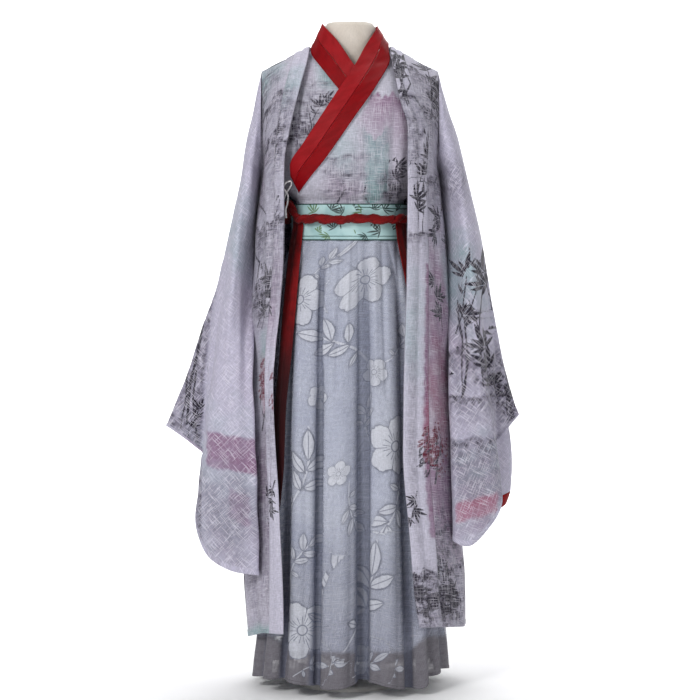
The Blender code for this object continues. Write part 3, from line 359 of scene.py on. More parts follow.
# %% A cloth and what is painted on it
FAR = 12.0  # mm; beyond this it no longer matters how far a stroke is


def as_seen(grid):
    """Where the camera sees points, as x and z on the upright plane through the middle of the set."""
    closer = CAMERA_BACK / (CAMERA_BACK + grid[..., 1])
    level = CAMERA_HEIGHT - SHIFT[2]
    return grid[..., 0] * closer, level + (grid[..., 2] - level) * closer


class Cloth:
    """A grid of points with their places on the flat cloth, what is printed there, and painted shade."""

    def __init__(self, grid, closed=False, anchor=0):
        self.grid, self.closed, self.wrap, self.threads = np.asarray(grid, float), closed, closed, None
        outward = self.grid - self.grid.mean(axis=1, keepdims=True)
        if closed and (normals_of(self.grid, True) * outward).sum() < 0:
            self.grid = self.grid[:, ::-1]
        # Flat places: lengths along the rows, measured from the anchor column, and down the columns.
        ring = np.concatenate([self.grid, self.grid[:, :1]], 1) if closed else self.grid
        across = np.cumsum(np.linalg.norm(np.diff(ring, axis=1), axis=2), axis=1)
        down = np.cumsum(np.linalg.norm(np.diff(self.grid, axis=0), axis=2), axis=0)
        self.width = across[:, -1]
        self.u = np.concatenate([np.zeros((len(across), 1)), across], 1)[:, : self.grid.shape[1]]
        self.u = self.u - self.u[:, anchor][:, None]
        self.v = np.concatenate([np.zeros((1, down.shape[1])), down])
        self.cut = (round(float(self.width.max()), 3), round(float(self.v[-1].max()), 3))
        self.colour = {}  # a name and how strongly that wash colours each point, 0 to 1
        # a name and how far each point is outside the nearest stroke, in mm
        self.edge = {word: np.full(self.u.shape, FAR) for word in ("ink", "red")}
        self.motif = {}  # a name and each point's place in the motif drawn there
        self.open = np.ones(self.u.shape, bool)  # which points take the brush
        self.motifs = 0

    def face_on(self):
        """Takes the places for the brush from the front view. A tube's threads keep places of their own."""
        if self.closed:
            self.grid = np.roll(self.grid, -int(np.argmin(abs(self.grid[..., 0]).mean(axis=0))), axis=1)
            self.threads = unrolled(self.grid)
        x, z = self.grid[..., 0], self.grid[..., 2]
        self.u, self.v = x - x.min(), z - z.min()
        self.wrap = False

    def facing(self, behind=False, least=0.1):
        return normals_of(self.grid, self.closed)[..., 1] * (1 if behind else -1) > -least

    def push(self, by):
        """Moves the points out along their normals."""
        self.grid = self.grid + normals_of(self.grid, self.closed) * by[..., None]

    def at(self, across, down, behind=False):
        """Where on the flat cloth the point lies that is seen that far across and down."""
        x, z = as_seen(self.grid)
        seen_x, seen_z = in_view(across, down)
        off = (x - seen_x) ** 2 + (z - seen_z) ** 2 + np.where(self.facing(behind, 0.2), 0, 9)
        k = np.unravel_index(np.argmin(off), off.shape)
        return np.array((self.u[k], self.v[k]))

    def wash(self, name, strength):
        old = self.colour.get(name, np.zeros(self.u.shape))
        self.colour[name] = np.maximum(old, np.clip(strength, 0, 1) * self.open)

    def stroke(self, layer, points, halves):
        """A brush stroke through flat points, halves its half width in mm at each."""
        field = self.edge[layer]
        for a, b, wide, wide_b in zip(points[:-1], points[1:], halves[:-1], halves[1:]):
            low, high = np.minimum(a, b) - FAR / 1000, np.maximum(a, b) + FAR / 1000
            near = (self.u > low[0]) & (self.u < high[0]) & (self.v > low[1]) & (self.v < high[1]) & self.open
            du, dv, run, rise = self.u[near] - a[0], self.v[near] - a[1], b[0] - a[0], b[1] - a[1]
            t = np.clip((du * run + dv * rise) / max(run * run + rise * rise, 1e-12), 0, 1)
            off = np.hypot(du - t * run, dv - t * rise) * 1000 - wide - (wide_b - wide) * t
            field[near] = np.minimum(field[near], off)

    def set_motif(self, words, centre, radius, degrees, kind=1.0, reach=1.08):
        """Gives the points round a flat place their places in a motif. A radius below 0 mirrors it."""
        places = self.motif.setdefault(words[self.motifs % len(words)], np.zeros(self.u.shape + (3,)))
        self.motifs += 1
        a = math.radians(degrees)
        du, dv = self.u - centre[0], self.v - centre[1]
        if self.wrap:
            round_ = self.width[:, None]
            du = (du + round_ / 2) % round_ - round_ / 2
        along = (du * math.cos(a) + dv * math.sin(a)) / abs(radius)
        aside = (dv * math.cos(a) - du * math.sin(a)) / radius
        near = (np.hypot(along, aside) < reach) & self.open
        places[near] = np.stack([along[near], aside[near], np.full(near.sum(), kind)], -1)


# %% [markdown]
# Creases are what tells the eye that a surface is cloth. Each is a soft trough or ridge along a given line:
# where its two ends are seen from the front, its half width and its height in millimetres, less than 0 for a
# trough. It swells and dies away along its length. A little uneven ripple lies over it all.
# The places are given as how far across and how far down in a front view that is 700 parts wide, as one would
# measure them on a print of it with a ruler.

# %% Creases and ripple
VIEW_PART = 0.00206  # m across one part of the view


def in_view(across, down):
    return (across - 350) * VIEW_PART, 0.02 + (695 - down) * VIEW_PART


def crease(cloth, rows, behind=False):
    x, z = as_seen(cloth.grid)
    height = np.zeros(x.shape)
    for across, down, across_b, down_b, wide, high in rows:
        (x0, z0), (x1, z1) = in_view(across, down), in_view(across_b, down_b)
        run, rise = x1 - x0, z1 - z0
        t = np.clip(((x - x0) * run + (z - z0) * rise) / (run * run + rise * rise), 0, 1)
        off = np.hypot(x - x0 - t * run, z - z0 - t * rise) * 1000
        height += high * (4 * t * (1 - t)) ** 0.4 * np.exp(-((off / wide) ** 2))
    cloth.push(np.where(cloth.facing(behind), height, 0.0) / 1000)


def ripple(u, v, size, draws):
    """An uneven wave between -1 and 1, its bumps about size metres apart and three times as tall as wide."""
    total = np.zeros(u.shape)
    for _ in range(7):
        a, b = draws.uniform(0.6, 1.5), draws.uniform(-0.5, 0.5)
        total += np.sin(2 * math.pi * (a * u + b * v / 1.5) / size + draws.uniform(0, 6.28))
    return total / 3.5


# %% [markdown]
# ## Finishes
# A finish is a small tree of nodes that ends in a Principled shader. Four helpers keep the trees short. One
# turns an sRGB colour, as a paint chart gives it, into the linear colour that the shader needs. One adds a
# node with its settings and its links. One starts a material, and the last links what its tree has worked
# out to the shader.

# %% Colours and nodes
def linear(hex_colour):
    parts = [int(hex_colour[k : k + 2], 16) / 255 for k in (1, 3, 5)]
    return tuple(c / 12.92 if c <= 0.04045 else ((c + 0.055) / 1.055) ** 2.4 for c in parts) + (1.0,)


# Where a node's usual settings, the sockets of its inputs or its output aren't simply the first ones.
USUAL = {
    "Mix": ({"data_type": "RGBA"}, (0, 6, 7), 2),
    "MapRange": ({"interpolation_type": "SMOOTHSTEP"}, (0, 1, 2), 0),
    "TexNoise": ({"noise_dimensions": "2D"}, ("Vector", "Scale", "Detail", "Roughness"), 0),
    "Mapping": ({}, ("Vector", "Rotation", "Scale", "Location"), 0),
    "Bump": ({}, ("Height", "Strength", "Distance"), 0),
    "HueSaturation": ({}, ("Color", "Value"), 0),
}


def add(tree, kind, *inputs, out=None, **settings):
    """Adds a node and returns its output. A kind in capitals is an operation of the Math node.

    Each input is a number, a colour or a node's output, in the usual order or in a dict by its socket."""
    if kind.isupper():
        kind, settings["operation"] = "Math", kind
    usual, sockets, first = USUAL.get(kind, ({}, range(9), 0))
    made = tree.nodes.new("ShaderNode" + kind)
    for name, value in {**usual, **settings}.items():
        setattr(made, name, value)
    given = inputs[0] if inputs and isinstance(inputs[0], dict) else dict(zip(sockets, inputs))
    for socket, value in given.items():
        if isinstance(value, bpy.types.NodeSocket):
            tree.links.new(value, made.inputs[socket])
        else:
            made.inputs[socket].default_value = linear(value) if isinstance(value, str) else value
    return made.outputs[first if out is None else out]


def finish(name, **values):
    """A new material, what adds nodes to it, and its shader with plain values set on its own sockets."""
    made = bpy.data.materials.new(name)
    made.use_nodes = True
    shader = made.node_tree.nodes["Principled BSDF"]
    for socket, value in values.items():
        shader.inputs[socket.replace("_", " ")].default_value = value
    return made, partial(add, made.node_tree), shader


def wire(shader, colour, relief=None, **others):
    """relief is a height, how strongly it is lit, and how deep it is in metres."""
    links = {"Base Color": colour, **others}
    if relief:
        links["Normal"] = add(shader.id_data, "Bump", *relief)
    for socket, value in links.items():
        shader.id_data.links.new(value, shader.inputs[socket])
    print(shader.id_data.name, "finish of", len(shader.id_data.nodes), "nodes")


# %% [markdown]
# ### Motifs that stay crisp
# A leaf 3 mm wide can't be painted on points that are 4 mm apart. So each point keeps its place in the motif
# that is drawn there, and the finish works out the leaves from that place. They stay crisp at any distance.

# %% Leaves and threads
def motif_place(node, word, *kinds):
    """The place in a motif, its two parts, and for each kind whether the motif is of it."""
    found = node("Attribute", attribute_name=word, out="Vector")
    x, y, kind = node("SeparateXYZ", found).node.outputs
    return found, x, y, *(node("COMPARE", kind, wanted, 0.001) for wanted in kinds)


def leaf_fan(node, place, leaves):
    """How far inside the nearest leaf a place is, and how far the nearest leaf's midrib is.

    Each leaf is its root's x and y, its turn in degrees, length, half width and bend."""
    deepest, rib = None, None
    for root_x, root_y, turn, long, half_wide, bend in leaves:
        a = math.radians(turn)
        root = (-root_x * math.cos(a) - root_y * math.sin(a), root_x * math.sin(a) - root_y * math.cos(a), 0)
        turned_place = node("Mapping", {"Vector": place, "Rotation": (0, 0, -a), "Location": root})
        x, y, _ = node("SeparateXYZ", turned_place).node.outputs
        squared = node("MULTIPLY", x, x)
        aside = node("ABSOLUTE", node("MULTIPLY_ADD", squared, -bend, y))
        rise = node("MULTIPLY", x, 4 * half_wide / long)
        swell = node("MULTIPLY_ADD", squared, -4 * half_wide / long**2, rise)
        inside = node("SUBTRACT", swell, aside)
        off_rib = node("ADD", aside, node("LESS_THAN", inside, 0.0))
        deepest = inside if deepest is None else node("MAXIMUM", deepest, inside)
        rib = off_rib if rib is None else node("MINIMUM", rib, off_rib)
    return deepest, rib


def threads(node, flat, sizes, low, high):
    """Broken lines along both thread directions, sizes thick and long in mm: where any lies, and how many."""
    found = []
    for thick, long in (sizes, sizes[::-1]):
        stretched = node("Mapping", {"Vector": flat, "Scale": (1000 / thick, 1000 / long, 1.0)})
        found.append(node("MapRange", node("TexNoise", stretched, 1.0, 1.0), low, high))
    return node("MAXIMUM", *found), node("ADD", *found)


# %% [markdown]
# ### Slub gauze, printed
# The robe and the top are of a light polyester gauze. Some of its threads are slubbed, thicker and paler than
# the rest, and they take less of the print, so short pale lines run along both thread directions. A slub is
# about 1.5 mm thick and 20 to 50 mm long. The ground threads are 0.5 mm apart, too fine to show from a few
# metres, so they are drawn 1.5 mm apart. The sleeves are cut on the bias, so their threads run slantwise. The
# print is laid on in the order of an ink painting: pale washes first, then grey ink, then dark strokes with
# dry, ragged edges, and red last. Polyester has an IOR of about 1.57 and this cloth is dull.

# %% Printed gauze
FANS = ("tuft", "tuft_b")  # neighbouring motifs take turns, so that they can overlap
# The second wash layer also holds painted shade: in the folds of the skirt's organza and on the sash's left
# tail.
WASHES = {"mint": "#7da5a4", "mauve": "#835d7c", "grey": "#55505f", "rose": "#a03d5c"}
REED_TUFT = [
    (-0.02, 0.02, -66, 0.62, 0.075, 0.25), (0.04, -0.03, -34, 0.9, 0.09, 0.1),
    (0, 0.03, -8, 0.7, 0.08, -0.15), (0.05, 0, 18, 0.98, 0.1, 0.12), (-0.03, 0, 47, 0.8, 0.085, -0.18),
    (0, -0.04, 84, 0.55, 0.07, 0.2),
]


def printed_gauze(name, ground, slub_share=0.35, turn=0.0, slub_mm=(1.3, 30.0), ink="#221e2b"):
    made, node, shader = finish(name, Roughness=0.8, IOR=1.57, Specular_IOR_Level=0.25, Sheen_Weight=0.1)
    flat = node("UVMap", uv_map="flat")
    grain = node("Mapping", flat, (0, 0, math.radians(turn)))
    slubs, _ = threads(node, grain, slub_mm, 0.6 if turn else 0.57, 0.67)
    _, weave = threads(node, grain, (1.5, 9.0), 0.35, 0.65)
    sizes = ((16.0, 3.0), (75.0, 6.0), (420.0, 3.0))
    patch, fleck, bristle = (node("TexNoise", flat, *size, 0.65) for size in sizes)
    wash = node("Attribute", attribute_name="wash")
    shares = dict(zip(WASHES, [*node("SeparateColor", wash).node.outputs, wash.node.outputs["Alpha"]]))
    colour, grey = ground, shares["grey"]
    for word, hue in WASHES.items():
        mottled = node("MapRange", fleck, 0.32, 0.62) if word == "grey" else patch
        colour = node("Mix", node("MULTIPLY", shares[word], node("MULTIPLY_ADD", mottled, 0.85, 0.42)),
                      colour, hue)
    specks = node("MapRange", node("SUBTRACT", fleck, node("MULTIPLY_ADD", grey, -0.3, 0.8)), -0.04, 0.07)
    colour = node("Mix", node("MULTIPLY", specks, node("MULTIPLY", grey, 0.9)), colour, ink)
    dry = node("MULTIPLY_ADD", bristle, 2.4, -1.2)
    density = node("MULTIPLY_ADD", fleck, 1.0, 0.55, use_clamp=True)
    for word, hue, most in (("ink", ink, 0.95), ("red", "#64182f", 0.9)):
        outside = node("Attribute", attribute_name=word, out="Fac")
        cover = node("MapRange", node("ADD", outside, dry), 0.7, -0.7)
        colour = node("Mix", node("MULTIPLY", cover, node("MULTIPLY", density, most)), colour, hue)
    ragged = node("MULTIPLY_ADD", bristle, 0.05, -0.025)
    for word in FANS:
        spot, _, _, here = motif_place(node, word, 1.0)
        cover = node("MapRange", node("ADD", leaf_fan(node, spot, REED_TUFT)[0], ragged), -0.004, 0.016)
        colour = node("Mix", node("MULTIPLY", cover, node("MULTIPLY", density, here)), colour, ink)
    pale = node("MULTIPLY", slubs, node("MULTIPLY_ADD", patch, 0.6, slub_share - 0.3))
    colour = node("Mix", pale, colour, "#e6e2ee")
    colour = node("HueSaturation", colour, node("MULTIPLY_ADD", weave, 0.13, 0.83))
    relief = node("ADD", slubs, node("MULTIPLY", weave, 0.5))
    wire(shader, colour, (relief, 0.5, 0.0004), Roughness=node("MULTIPLY_ADD", fleck, 0.2, 0.68))
    return made


gauze = printed_gauze("printed_slub_gauze", "#aeabba")
sleeve_gauze = printed_gauze("printed_slub_gauze_bias", "#b3afc2", 0.42, turn=38.0, slub_mm=(1.8, 36.0))
lapel_gauze = printed_gauze("printed_slub_gauze_band", "#b9b6c6", 0.3)
top_gauze = printed_gauze("printed_slub_gauze_top", "#b8b6c3", ink="#35303c")

# %% [markdown]
# ## From cloth to a piece
# One function turns a cloth into a mesh and gives it its UV map and its painted layers as attributes. Others
# hang the piece from the root, hide the solid that it stands for and print what size it was cut to.

# %% Laying a cloth
def mesh_of(name, cloth, material):
    made, r, c = grid_mesh(name, cloth.grid + SHIFT, cloth.closed)
    mesh = made.data
    mesh.shade_smooth()
    mesh.materials.append(material)
    laid = cloth.threads
    if laid is None:
        laid = np.stack([cloth.u, cloth.v], -1)
        if cloth.closed:
            laid = np.concatenate([laid, np.stack([cloth.width, cloth.v[:, 0]], -1)[:, None]], axis=1)
    corners = np.stack([laid[r, c], laid[r, c + 1], laid[r + 1, c + 1], laid[r + 1, c]], -2)
    mesh.uv_layers.new(name="flat").data.foreach_set("uv", corners.ravel())
    wash = np.stack([cloth.colour.get(word, 0.0) * np.ones(cloth.u.shape) for word in WASHES], -1)
    layers = [("wash", "FLOAT_COLOR", "color", wash)]
    layers += [(word, "FLOAT", "value", edge) for word, edge in cloth.edge.items()]
    layers += [(word, "FLOAT_VECTOR", "vector", places) for word, places in cloth.motif.items()]
    for word, kind, field, values in layers:
        mesh.attributes.new(word, kind, "POINT").data.foreach_set(field, values.ravel())
    return made


def place(made, slot, *nodes):
    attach(made, "root")
    if nodes:
        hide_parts(*nodes)
    return made


def lay(name, cloth, material, slot, node, thick=0.0, with_pieces=()):
    made = mesh_of(name, cloth, material)
    if thick:
        solid = made.modifiers.new("thickness", "SOLIDIFY")
        solid.thickness, solid.offset = thick, -1
    place(made, slot, node)
    step = cloth.grid[1:] - cloth.grid[:-1]
    area = np.linalg.norm(np.cross(step[:, 1:], np.diff(cloth.grid, axis=1)[:-1]), axis=2).sum()
    wide, long = cloth.cut
    area = min(max(area, 0.3 * wide * long), wide * long)
    print(f"{name}: {cloth.grid.shape[0]} x {cloth.grid.shape[1]} points, cut {wide:.3f} x {long:.3f} m")
    return made


# %% [markdown]
# A hem is the cloth's edge turned in twice and stitched, so it is three layers thick and a little proud. Here
# it is a flattened tube along the low edge. It copies the colours of the cloth that it is turned from.

# %% Hems
def hem_of(name, cloth, material, slot, width=0.0075, proud=0.0008):
    grid, n = cloth.grid, normals_of(cloth.grid, cloth.closed)[0]
    depth = np.cumsum(np.linalg.norm(np.diff(grid[:8], axis=0), axis=2), axis=0).mean(axis=1)
    inside, edge = grid[int(np.argmin(abs(depth - width))) + 1], grid[0]
    turn, out = inside * 0.9 + edge * 0.1, edge - grid[1]
    out /= np.linalg.norm(out, axis=1, keepdims=True)
    loop = [inside + n * 0.0001, turn + n * proud, edge + n * proud * 0.9, edge + out * proud,
            edge - n * proud * 0.9, turn - n * proud, inside - n * 0.0001]
    strip = Cloth(np.array(loop), closed=cloth.closed)
    strip.v = np.outer((0.0, 0.1, 0.9, 1.0, 1.1, 1.9, 2.0), np.full(len(edge), width))
    strip.colour = {word: np.tile(field[0], (7, 1)) for word, field in cloth.colour.items()}
    strip.edge = {word: np.tile(field[0], (7, 1)) for word, field in cloth.edge.items()}
    return place(mesh_of(name, strip, material), slot)


# %% [markdown]
# ### Hand-drawn motifs
# The print is a plain one of reeds, red-leaved boughs and far hills. A reed is a jointed stem with a fan of
# leaves at each joint, every one turned and sized a little differently. A bough is knotty, with red dabs for
# its leaves. Hills are washes that are darkest on their crest.

# %% Reeds, boughs and hills
def pointing(angle, length=1.0):
    return length * np.array((math.cos(angle), math.sin(angle)))


def reeds(cloth, root, degrees, length, stems, leaf, draws):
    """A few leaning stems with a fan of leaves at each joint."""
    for _ in range(stems):
        angle = math.radians(degrees + draws.uniform(-16, 16))
        spot = root + draws.uniform(-0.016, 0.016, 2)
        for _ in range(3):
            then = spot + pointing(angle, length / 3)
            cloth.stroke("ink", [spot, then], [1.5, 1.1])
            turn = math.degrees(angle) + draws.uniform(-70, 70)
            cloth.set_motif(FANS, then, leaf * draws.uniform(0.8, 1.15) * draws.choice((-1, 1)), turn)
            spot, angle = then, angle + draws.uniform(-0.25, 0.25)


def scatter(cloth, layer, centre, half_size, count, degrees, long, thick, draws):
    """Short strokes over an ellipse, each turned a little its own way."""
    for _ in range(count):
        off, way = math.sqrt(draws.uniform()), draws.uniform(0, 6.28)
        turn = math.radians(degrees + draws.normal(0, 28))
        spot = centre + off * pointing(way) * half_size
        step = pointing(turn, 0.5 * long * draws.uniform(0.5, 1.4))
        bend = spot + 0.25 * draws.uniform(-1, 1) * step[::-1]
        cloth.stroke(layer, [spot - step, bend, spot + step], [0.3 * thick, thick, 0.4 * thick])


def bough(cloth, spot, degrees, length, leaf, draws):
    """A knotty bough with red leaves about its twigs."""
    angle = math.radians(degrees)
    for k in range(5):
        then = spot + pointing(angle, length / 5)
        cloth.stroke("ink", [spot, then], [3.0 - 0.4 * k, 2.6 - 0.4 * k])
        twig = then + pointing(angle + draws.choice((-0.9, 0.9)), length * 0.2)
        cloth.stroke("ink", [then, twig], [1.6, 1.0])
        scatter(cloth, "red", twig, (0.8 * leaf, 0.8 * leaf), 16, draws.uniform(0, 180), 0.28 * leaf, 2.2,
                draws)
        spot, angle = then, angle + draws.uniform(-0.5, 0.5)


def hills(cloth, word, middle, level, tall, fade, strength, half_wide, draws):
    """A hill line about level, tall from foot to top, darkest on its crest, that fades over a length."""
    u = cloth.u
    waves = 0.5 * np.sin(u * 21 + draws.uniform(0, 6)) + 0.3 * np.sin(u * 57 + draws.uniform(0, 6))
    crest = level + tall * waves
    crest += 0.2 * tall * np.sin(u * 131 + draws.uniform(0, 6)) + 0.08 * tall * np.sin(u * 430)
    below = crest - cloth.v
    strength = strength * np.clip(1.6 - abs(u - middle) / half_wide, 0, 1)
    cloth.wash(word, strength * np.clip(below / 0.004, 0, 1) * np.exp(-np.maximum(below, 0) / fade))


def pool(cloth, word, centre, wide, tall, strength):
    """A soft-edged pool of wash round a flat point."""
    du, dv = cloth.u - centre[0], cloth.v - centre[1]
    off = np.hypot(du / wide, dv / tall) + 0.16 * np.sin(du * 90 + dv * 40) + 0.1 * np.sin(dv * 150 - du * 60)
    cloth.wash(word, strength * np.clip(1.35 - off, 0, 1) ** 1.2)


def block(cloth, word, centre, wide, tall, strength, slant):
    """A patch with plain cut edges, as a broad flat brush leaves it."""
    du, dv = cloth.u - centre[0], cloth.v - centre[1] - slant * (cloth.u - centre[0])
    inside = np.minimum(wide - abs(du), tall - abs(dv)) + 0.0015 * np.sin(du * 160)
    inside += 0.0015 * np.sin(dv * 210)
    cloth.wash(word, strength * np.clip(inside / 0.005, 0, 1))


def paint(cloth, draws=None, behind=False, pools=(), blocks=(), ridges=(), stands=(), boughs=(), trunks=(),
          rough=()):
    """Each row says where its middle or root is seen, across and down; sizes are in millimetres."""
    if not cloth.wrap and cloth.closed:
        cloth.open = cloth.facing(behind)
    spot = lambda across, down: cloth.at(across, down, behind)
    for make, rows in ((pool, pools), (block, blocks)):
        for word, across, down, wide, tall, *others in rows:
            make(cloth, word, spot(across, down), wide / 1000, tall / 1000, *others)
    for word, across, down, tall, fade, strength, *half_wide in ridges:
        sizes = tall / 1000, fade / 1000, strength, (half_wide or [9000])[0] / 1000
        hills(cloth, word, *spot(across, down), *sizes, draws)
    for points, half_wide, end in trunks:
        path = [spot(*point) for point in points]
        cloth.stroke("ink", path, np.linspace(half_wide, end, len(path)))
    for layer, across, down, wide, tall, count, degrees, long, thick in rough:
        size = (wide / 1000, tall / 1000)
        scatter(cloth, layer, spot(across, down), size, count, degrees, long / 1000, thick, draws)
    for make, rows in ((reeds, stands), (bough, boughs)):
        for across, down, degrees, length, *stems, leaf in rows:
            make(cloth, spot(across, down), degrees, length / 1000, *stems, leaf / 1000, draws)
    print("painted", sum(map(len, (pools, blocks, ridges, stands, boughs, trunks, rough))), "motifs")


# %% [markdown]
# ## The robe
# Its two fronts hang straight from the shoulders and stay open. Each front's inner edge carries a wide lapel
# band, folded double, with a crease along its middle.

# %% Robe panels
ROBE = mm(  # height, half widths to the left and right, depths to the front and back
    (130, 204, 231, 206, 212), (250, 204, 222, 197, 202), (400, 203, 209, 186, 191),
    (600, 199, 200, 174, 178), (800, 194, 193, 164, 164), (950, 189, 188, 158, 150),
    (1090, 180.5, 180.5, 154, 138), (1140, 186, 186, 153, 135), (1190, 190, 190, 151, 132),
)
ROBE_SHOULDER = {"neck_x": 0.082, "neck_z": 1.352, "tip_x": 0.18, "underarm": 1.09, "y": 0.004,
                 "round": (1.65, 1.8), "nape": 1.313}
EDGES = {  # the inner edge of each front: height and distance from the middle
    -1: mm((160, -131), (458, -140), (557, -146), (681, -150), (837, -137), (940, -131.5), (1107, -130.5),
           (1173, -120.5), (1260, -100.5), (1352, -82)),
    1: mm((180, 141), (242, 132), (369, 121.5), (532, 108), (682, 109), (920, 114), (1106, 114.5),
          (1181, 114.5), (1250, 96.5), (1352, 82)),
}
LAPELS = {  # how wide each lapel is, in degrees round the body at a height
    -1: np.array([(0.16, 18.0), (1.000, 16.5), (1.107, 16.0), (1.25, 19.0), (1.352, 17.5)]),
    1: np.array([(0.18, 22.0), (0.6, 26.0), (1.158, 26.0), (1.215, 21.0), (1.26, 17.0), (1.352, 12.0)]),
}
ROBE_LOW = np.arange(16) / 16
LAPEL_COLUMNS = 8


def lapel_angle(column, columns, start, end, side, z):
    """Even steps across the lapel, then even steps across the rest of the front."""
    wide = side * smooth(LAPELS[side], 1, z)
    rest = start + wide + (end - start - wide) * (column - LAPEL_COLUMNS) / (columns - 1 - LAPEL_COLUMNS)
    return np.where(column <= LAPEL_COLUMNS, start + wide * column / LAPEL_COLUMNS, rest)


def robe_folds(degrees, z):
    """Soft upright waves that grow towards the hem and die away at the sides."""
    grown = np.clip((1.02 - z) / 0.7, 0, 1) * (0.25 + 0.75 * np.cos(np.radians(degrees)) ** 2)
    waves = 0.005 * np.sin(np.radians(degrees * 7 + 30)) + 0.0034 * np.sin(np.radians(degrees * 12 - 70))
    return grown * waves


def reach(grid, *edges, by=0.0008):
    """Lengthens edges, so that the piece meets its neighbours in the seams. An edge: an axis and its end."""
    for axis, end in edges:
        edge, inner = ((slice(None),) * axis + (k,) for k in (end, 1 if end == 0 else -2))
        out = grid[edge] - grid[inner]
        grid[edge] += by * out / np.maximum(np.linalg.norm(out, axis=-1, keepdims=True), 1e-9)
    return grid


def fuller_sides(grid):
    """Lets the body's sides out a little below the armhole, so that they meet the sleeves."""
    x, z = grid[..., 0], grid[..., 2]
    here = (0.3 + 0.7 * smooth_step(z, 0.08, 0.3)) * smooth_step(z, 1.125, 1.06)
    grid[..., 0] += 0.009 * here * np.sign(x) * np.clip(abs(x) / 0.19, 0, 1.1) ** 8
    return grid


robe_hem = hem_level((-90, 140), (-52, 166), (-35, 169), (0, 160), (35, 182), (90, 162), (180, 150),
                     (270, 140))
tops = (0.18, 0.169, 0.158, 0.144, 0.13, 0.117, 0.105, 0.093, 0.082, 0.068, 0.055, 0.041, 0.028, 0.014)
coarse = back_grid(ROBE, ROBE_SHOULDER, robe_hem, ROBE_LOW, 12, tops, robe_folds)
back = Cloth(finer(fuller_sides(reach(coarse, (1, 0), (1, -1), (0, -1))), 250, 130), anchor=65)
SIDES = {"left": -1, "right": 1}
fronts, lapels = {}, {}
for word, side in SIDES.items():
    coarse = front_grid(ROBE, ROBE_SHOULDER, EDGES[side], side, robe_hem, ROBE_LOW, 12, 27, lapel_angle, None,
                        robe_folds)
    outer, normals = (-1 if side > 0 else 0), normals_of(coarse)
    whole = fuller_sides(reach(coarse.copy(), (0, -1), (1, outer)))
    fronts[word] = Cloth(finer(whole, 400, 84), anchor=outer)
    normals[-1, :, 1] = 0
    band = slice(0, 7) if side > 0 else slice(-6, None)
    lapels[word] = Cloth(finer((coarse + normals * (SEAM_GAP + BAND))[:, band], 400, 18))
print("robe fronts", fronts["left"].grid.shape[:2], "back", back.grid.shape[:2])

# %% Robe creases
FRONT_CREASES = {
    "left": [
        (262, 110, 260, 330, 6, -4), (268, 170, 267, 420, 5, 2.6), (257, 330, 264, 600, 7, -4),
        (272, 360, 273, 560, 7, 2.6), (253, 420, 256, 640, 6, -3), (266, 470, 272, 640, 6, -3.4),
        (255, 130, 250, 240, 7, 2.4), (262, 80, 256, 150, 6, -2.8), (284, 500, 282, 650, 5, -1.6),
        (259, 560, 262, 660, 7, 2.4), (250, 180, 254, 300, 5, -2.4),
    ],
    "right": [
        (436, 120, 438, 330, 5, -4), (447, 170, 449, 360, 7, 3), (441, 330, 448, 560, 7, -3.6),
        (433, 400, 437, 640, 6, 2.6), (453, 420, 460, 640, 7, -3.4), (444, 520, 447, 660, 6, 2.4),
        (452, 90, 458, 170, 8, 2.4), (440, 70, 447, 130, 6, -2.8), (430, 560, 432, 650, 5, -2.2),
        (455, 200, 452, 300, 6, -2.4),
    ],
}
BACK_CREASES = [
    (330, 110, 322, 420, 12, -3.4), (368, 120, 377, 520, 14, 3.4), (300, 250, 292, 660, 12, 3.2),
    (345, 320, 350, 670, 14, -4), (405, 200, 412, 660, 12, -3.2), (275, 130, 268, 400, 10, 2.8),
    (428, 120, 436, 360, 10, 2.8), (390, 430, 398, 670, 12, 3), (315, 470, 312, 670, 10, -2.8),
    (360, 500, 366, 670, 9, 2.4), (283, 400, 276, 660, 9, -2.4), (424, 380, 430, 660, 10, 2.4),
]
draws = np.random.default_rng(11)
for word, cloth in fronts.items():
    crease(cloth, FRONT_CREASES[word])
    cloth.push(0.0007 * ripple(cloth.u, cloth.v, 0.085, draws))
crease(back, BACK_CREASES, behind=True)
back.push(0.001 * ripple(back.u, back.v, 0.12, draws))


def fold_band(cloth, across, lift=0.0005, ends=1.0, puff=0.0022, deep=0.0012, narrow=0.045):
    """A band folded double: two soft halves with a crease between. across is where a point is, 0 to 1."""
    halves = 1 - (2 * abs(2 * across - 1) - 1) ** 2
    cloth.push(lift + ends * (puff * halves - deep * np.exp(-(((across - 0.5) / narrow) ** 2))))


for word, cloth in lapels.items():
    crease(cloth, FRONT_CREASES[word])
    cloth.push(0.0007 * ripple(cloth.u, cloth.v, 0.16, draws))
    fold_band(cloth, cloth.u / cloth.width[:, None])
print("creases pressed")

# %% [markdown]
# The print on the robe is an ink painting in miniature: pools of mint and mauve, hill lines that fade
# downwards, reeds, and boughs with red leaves.

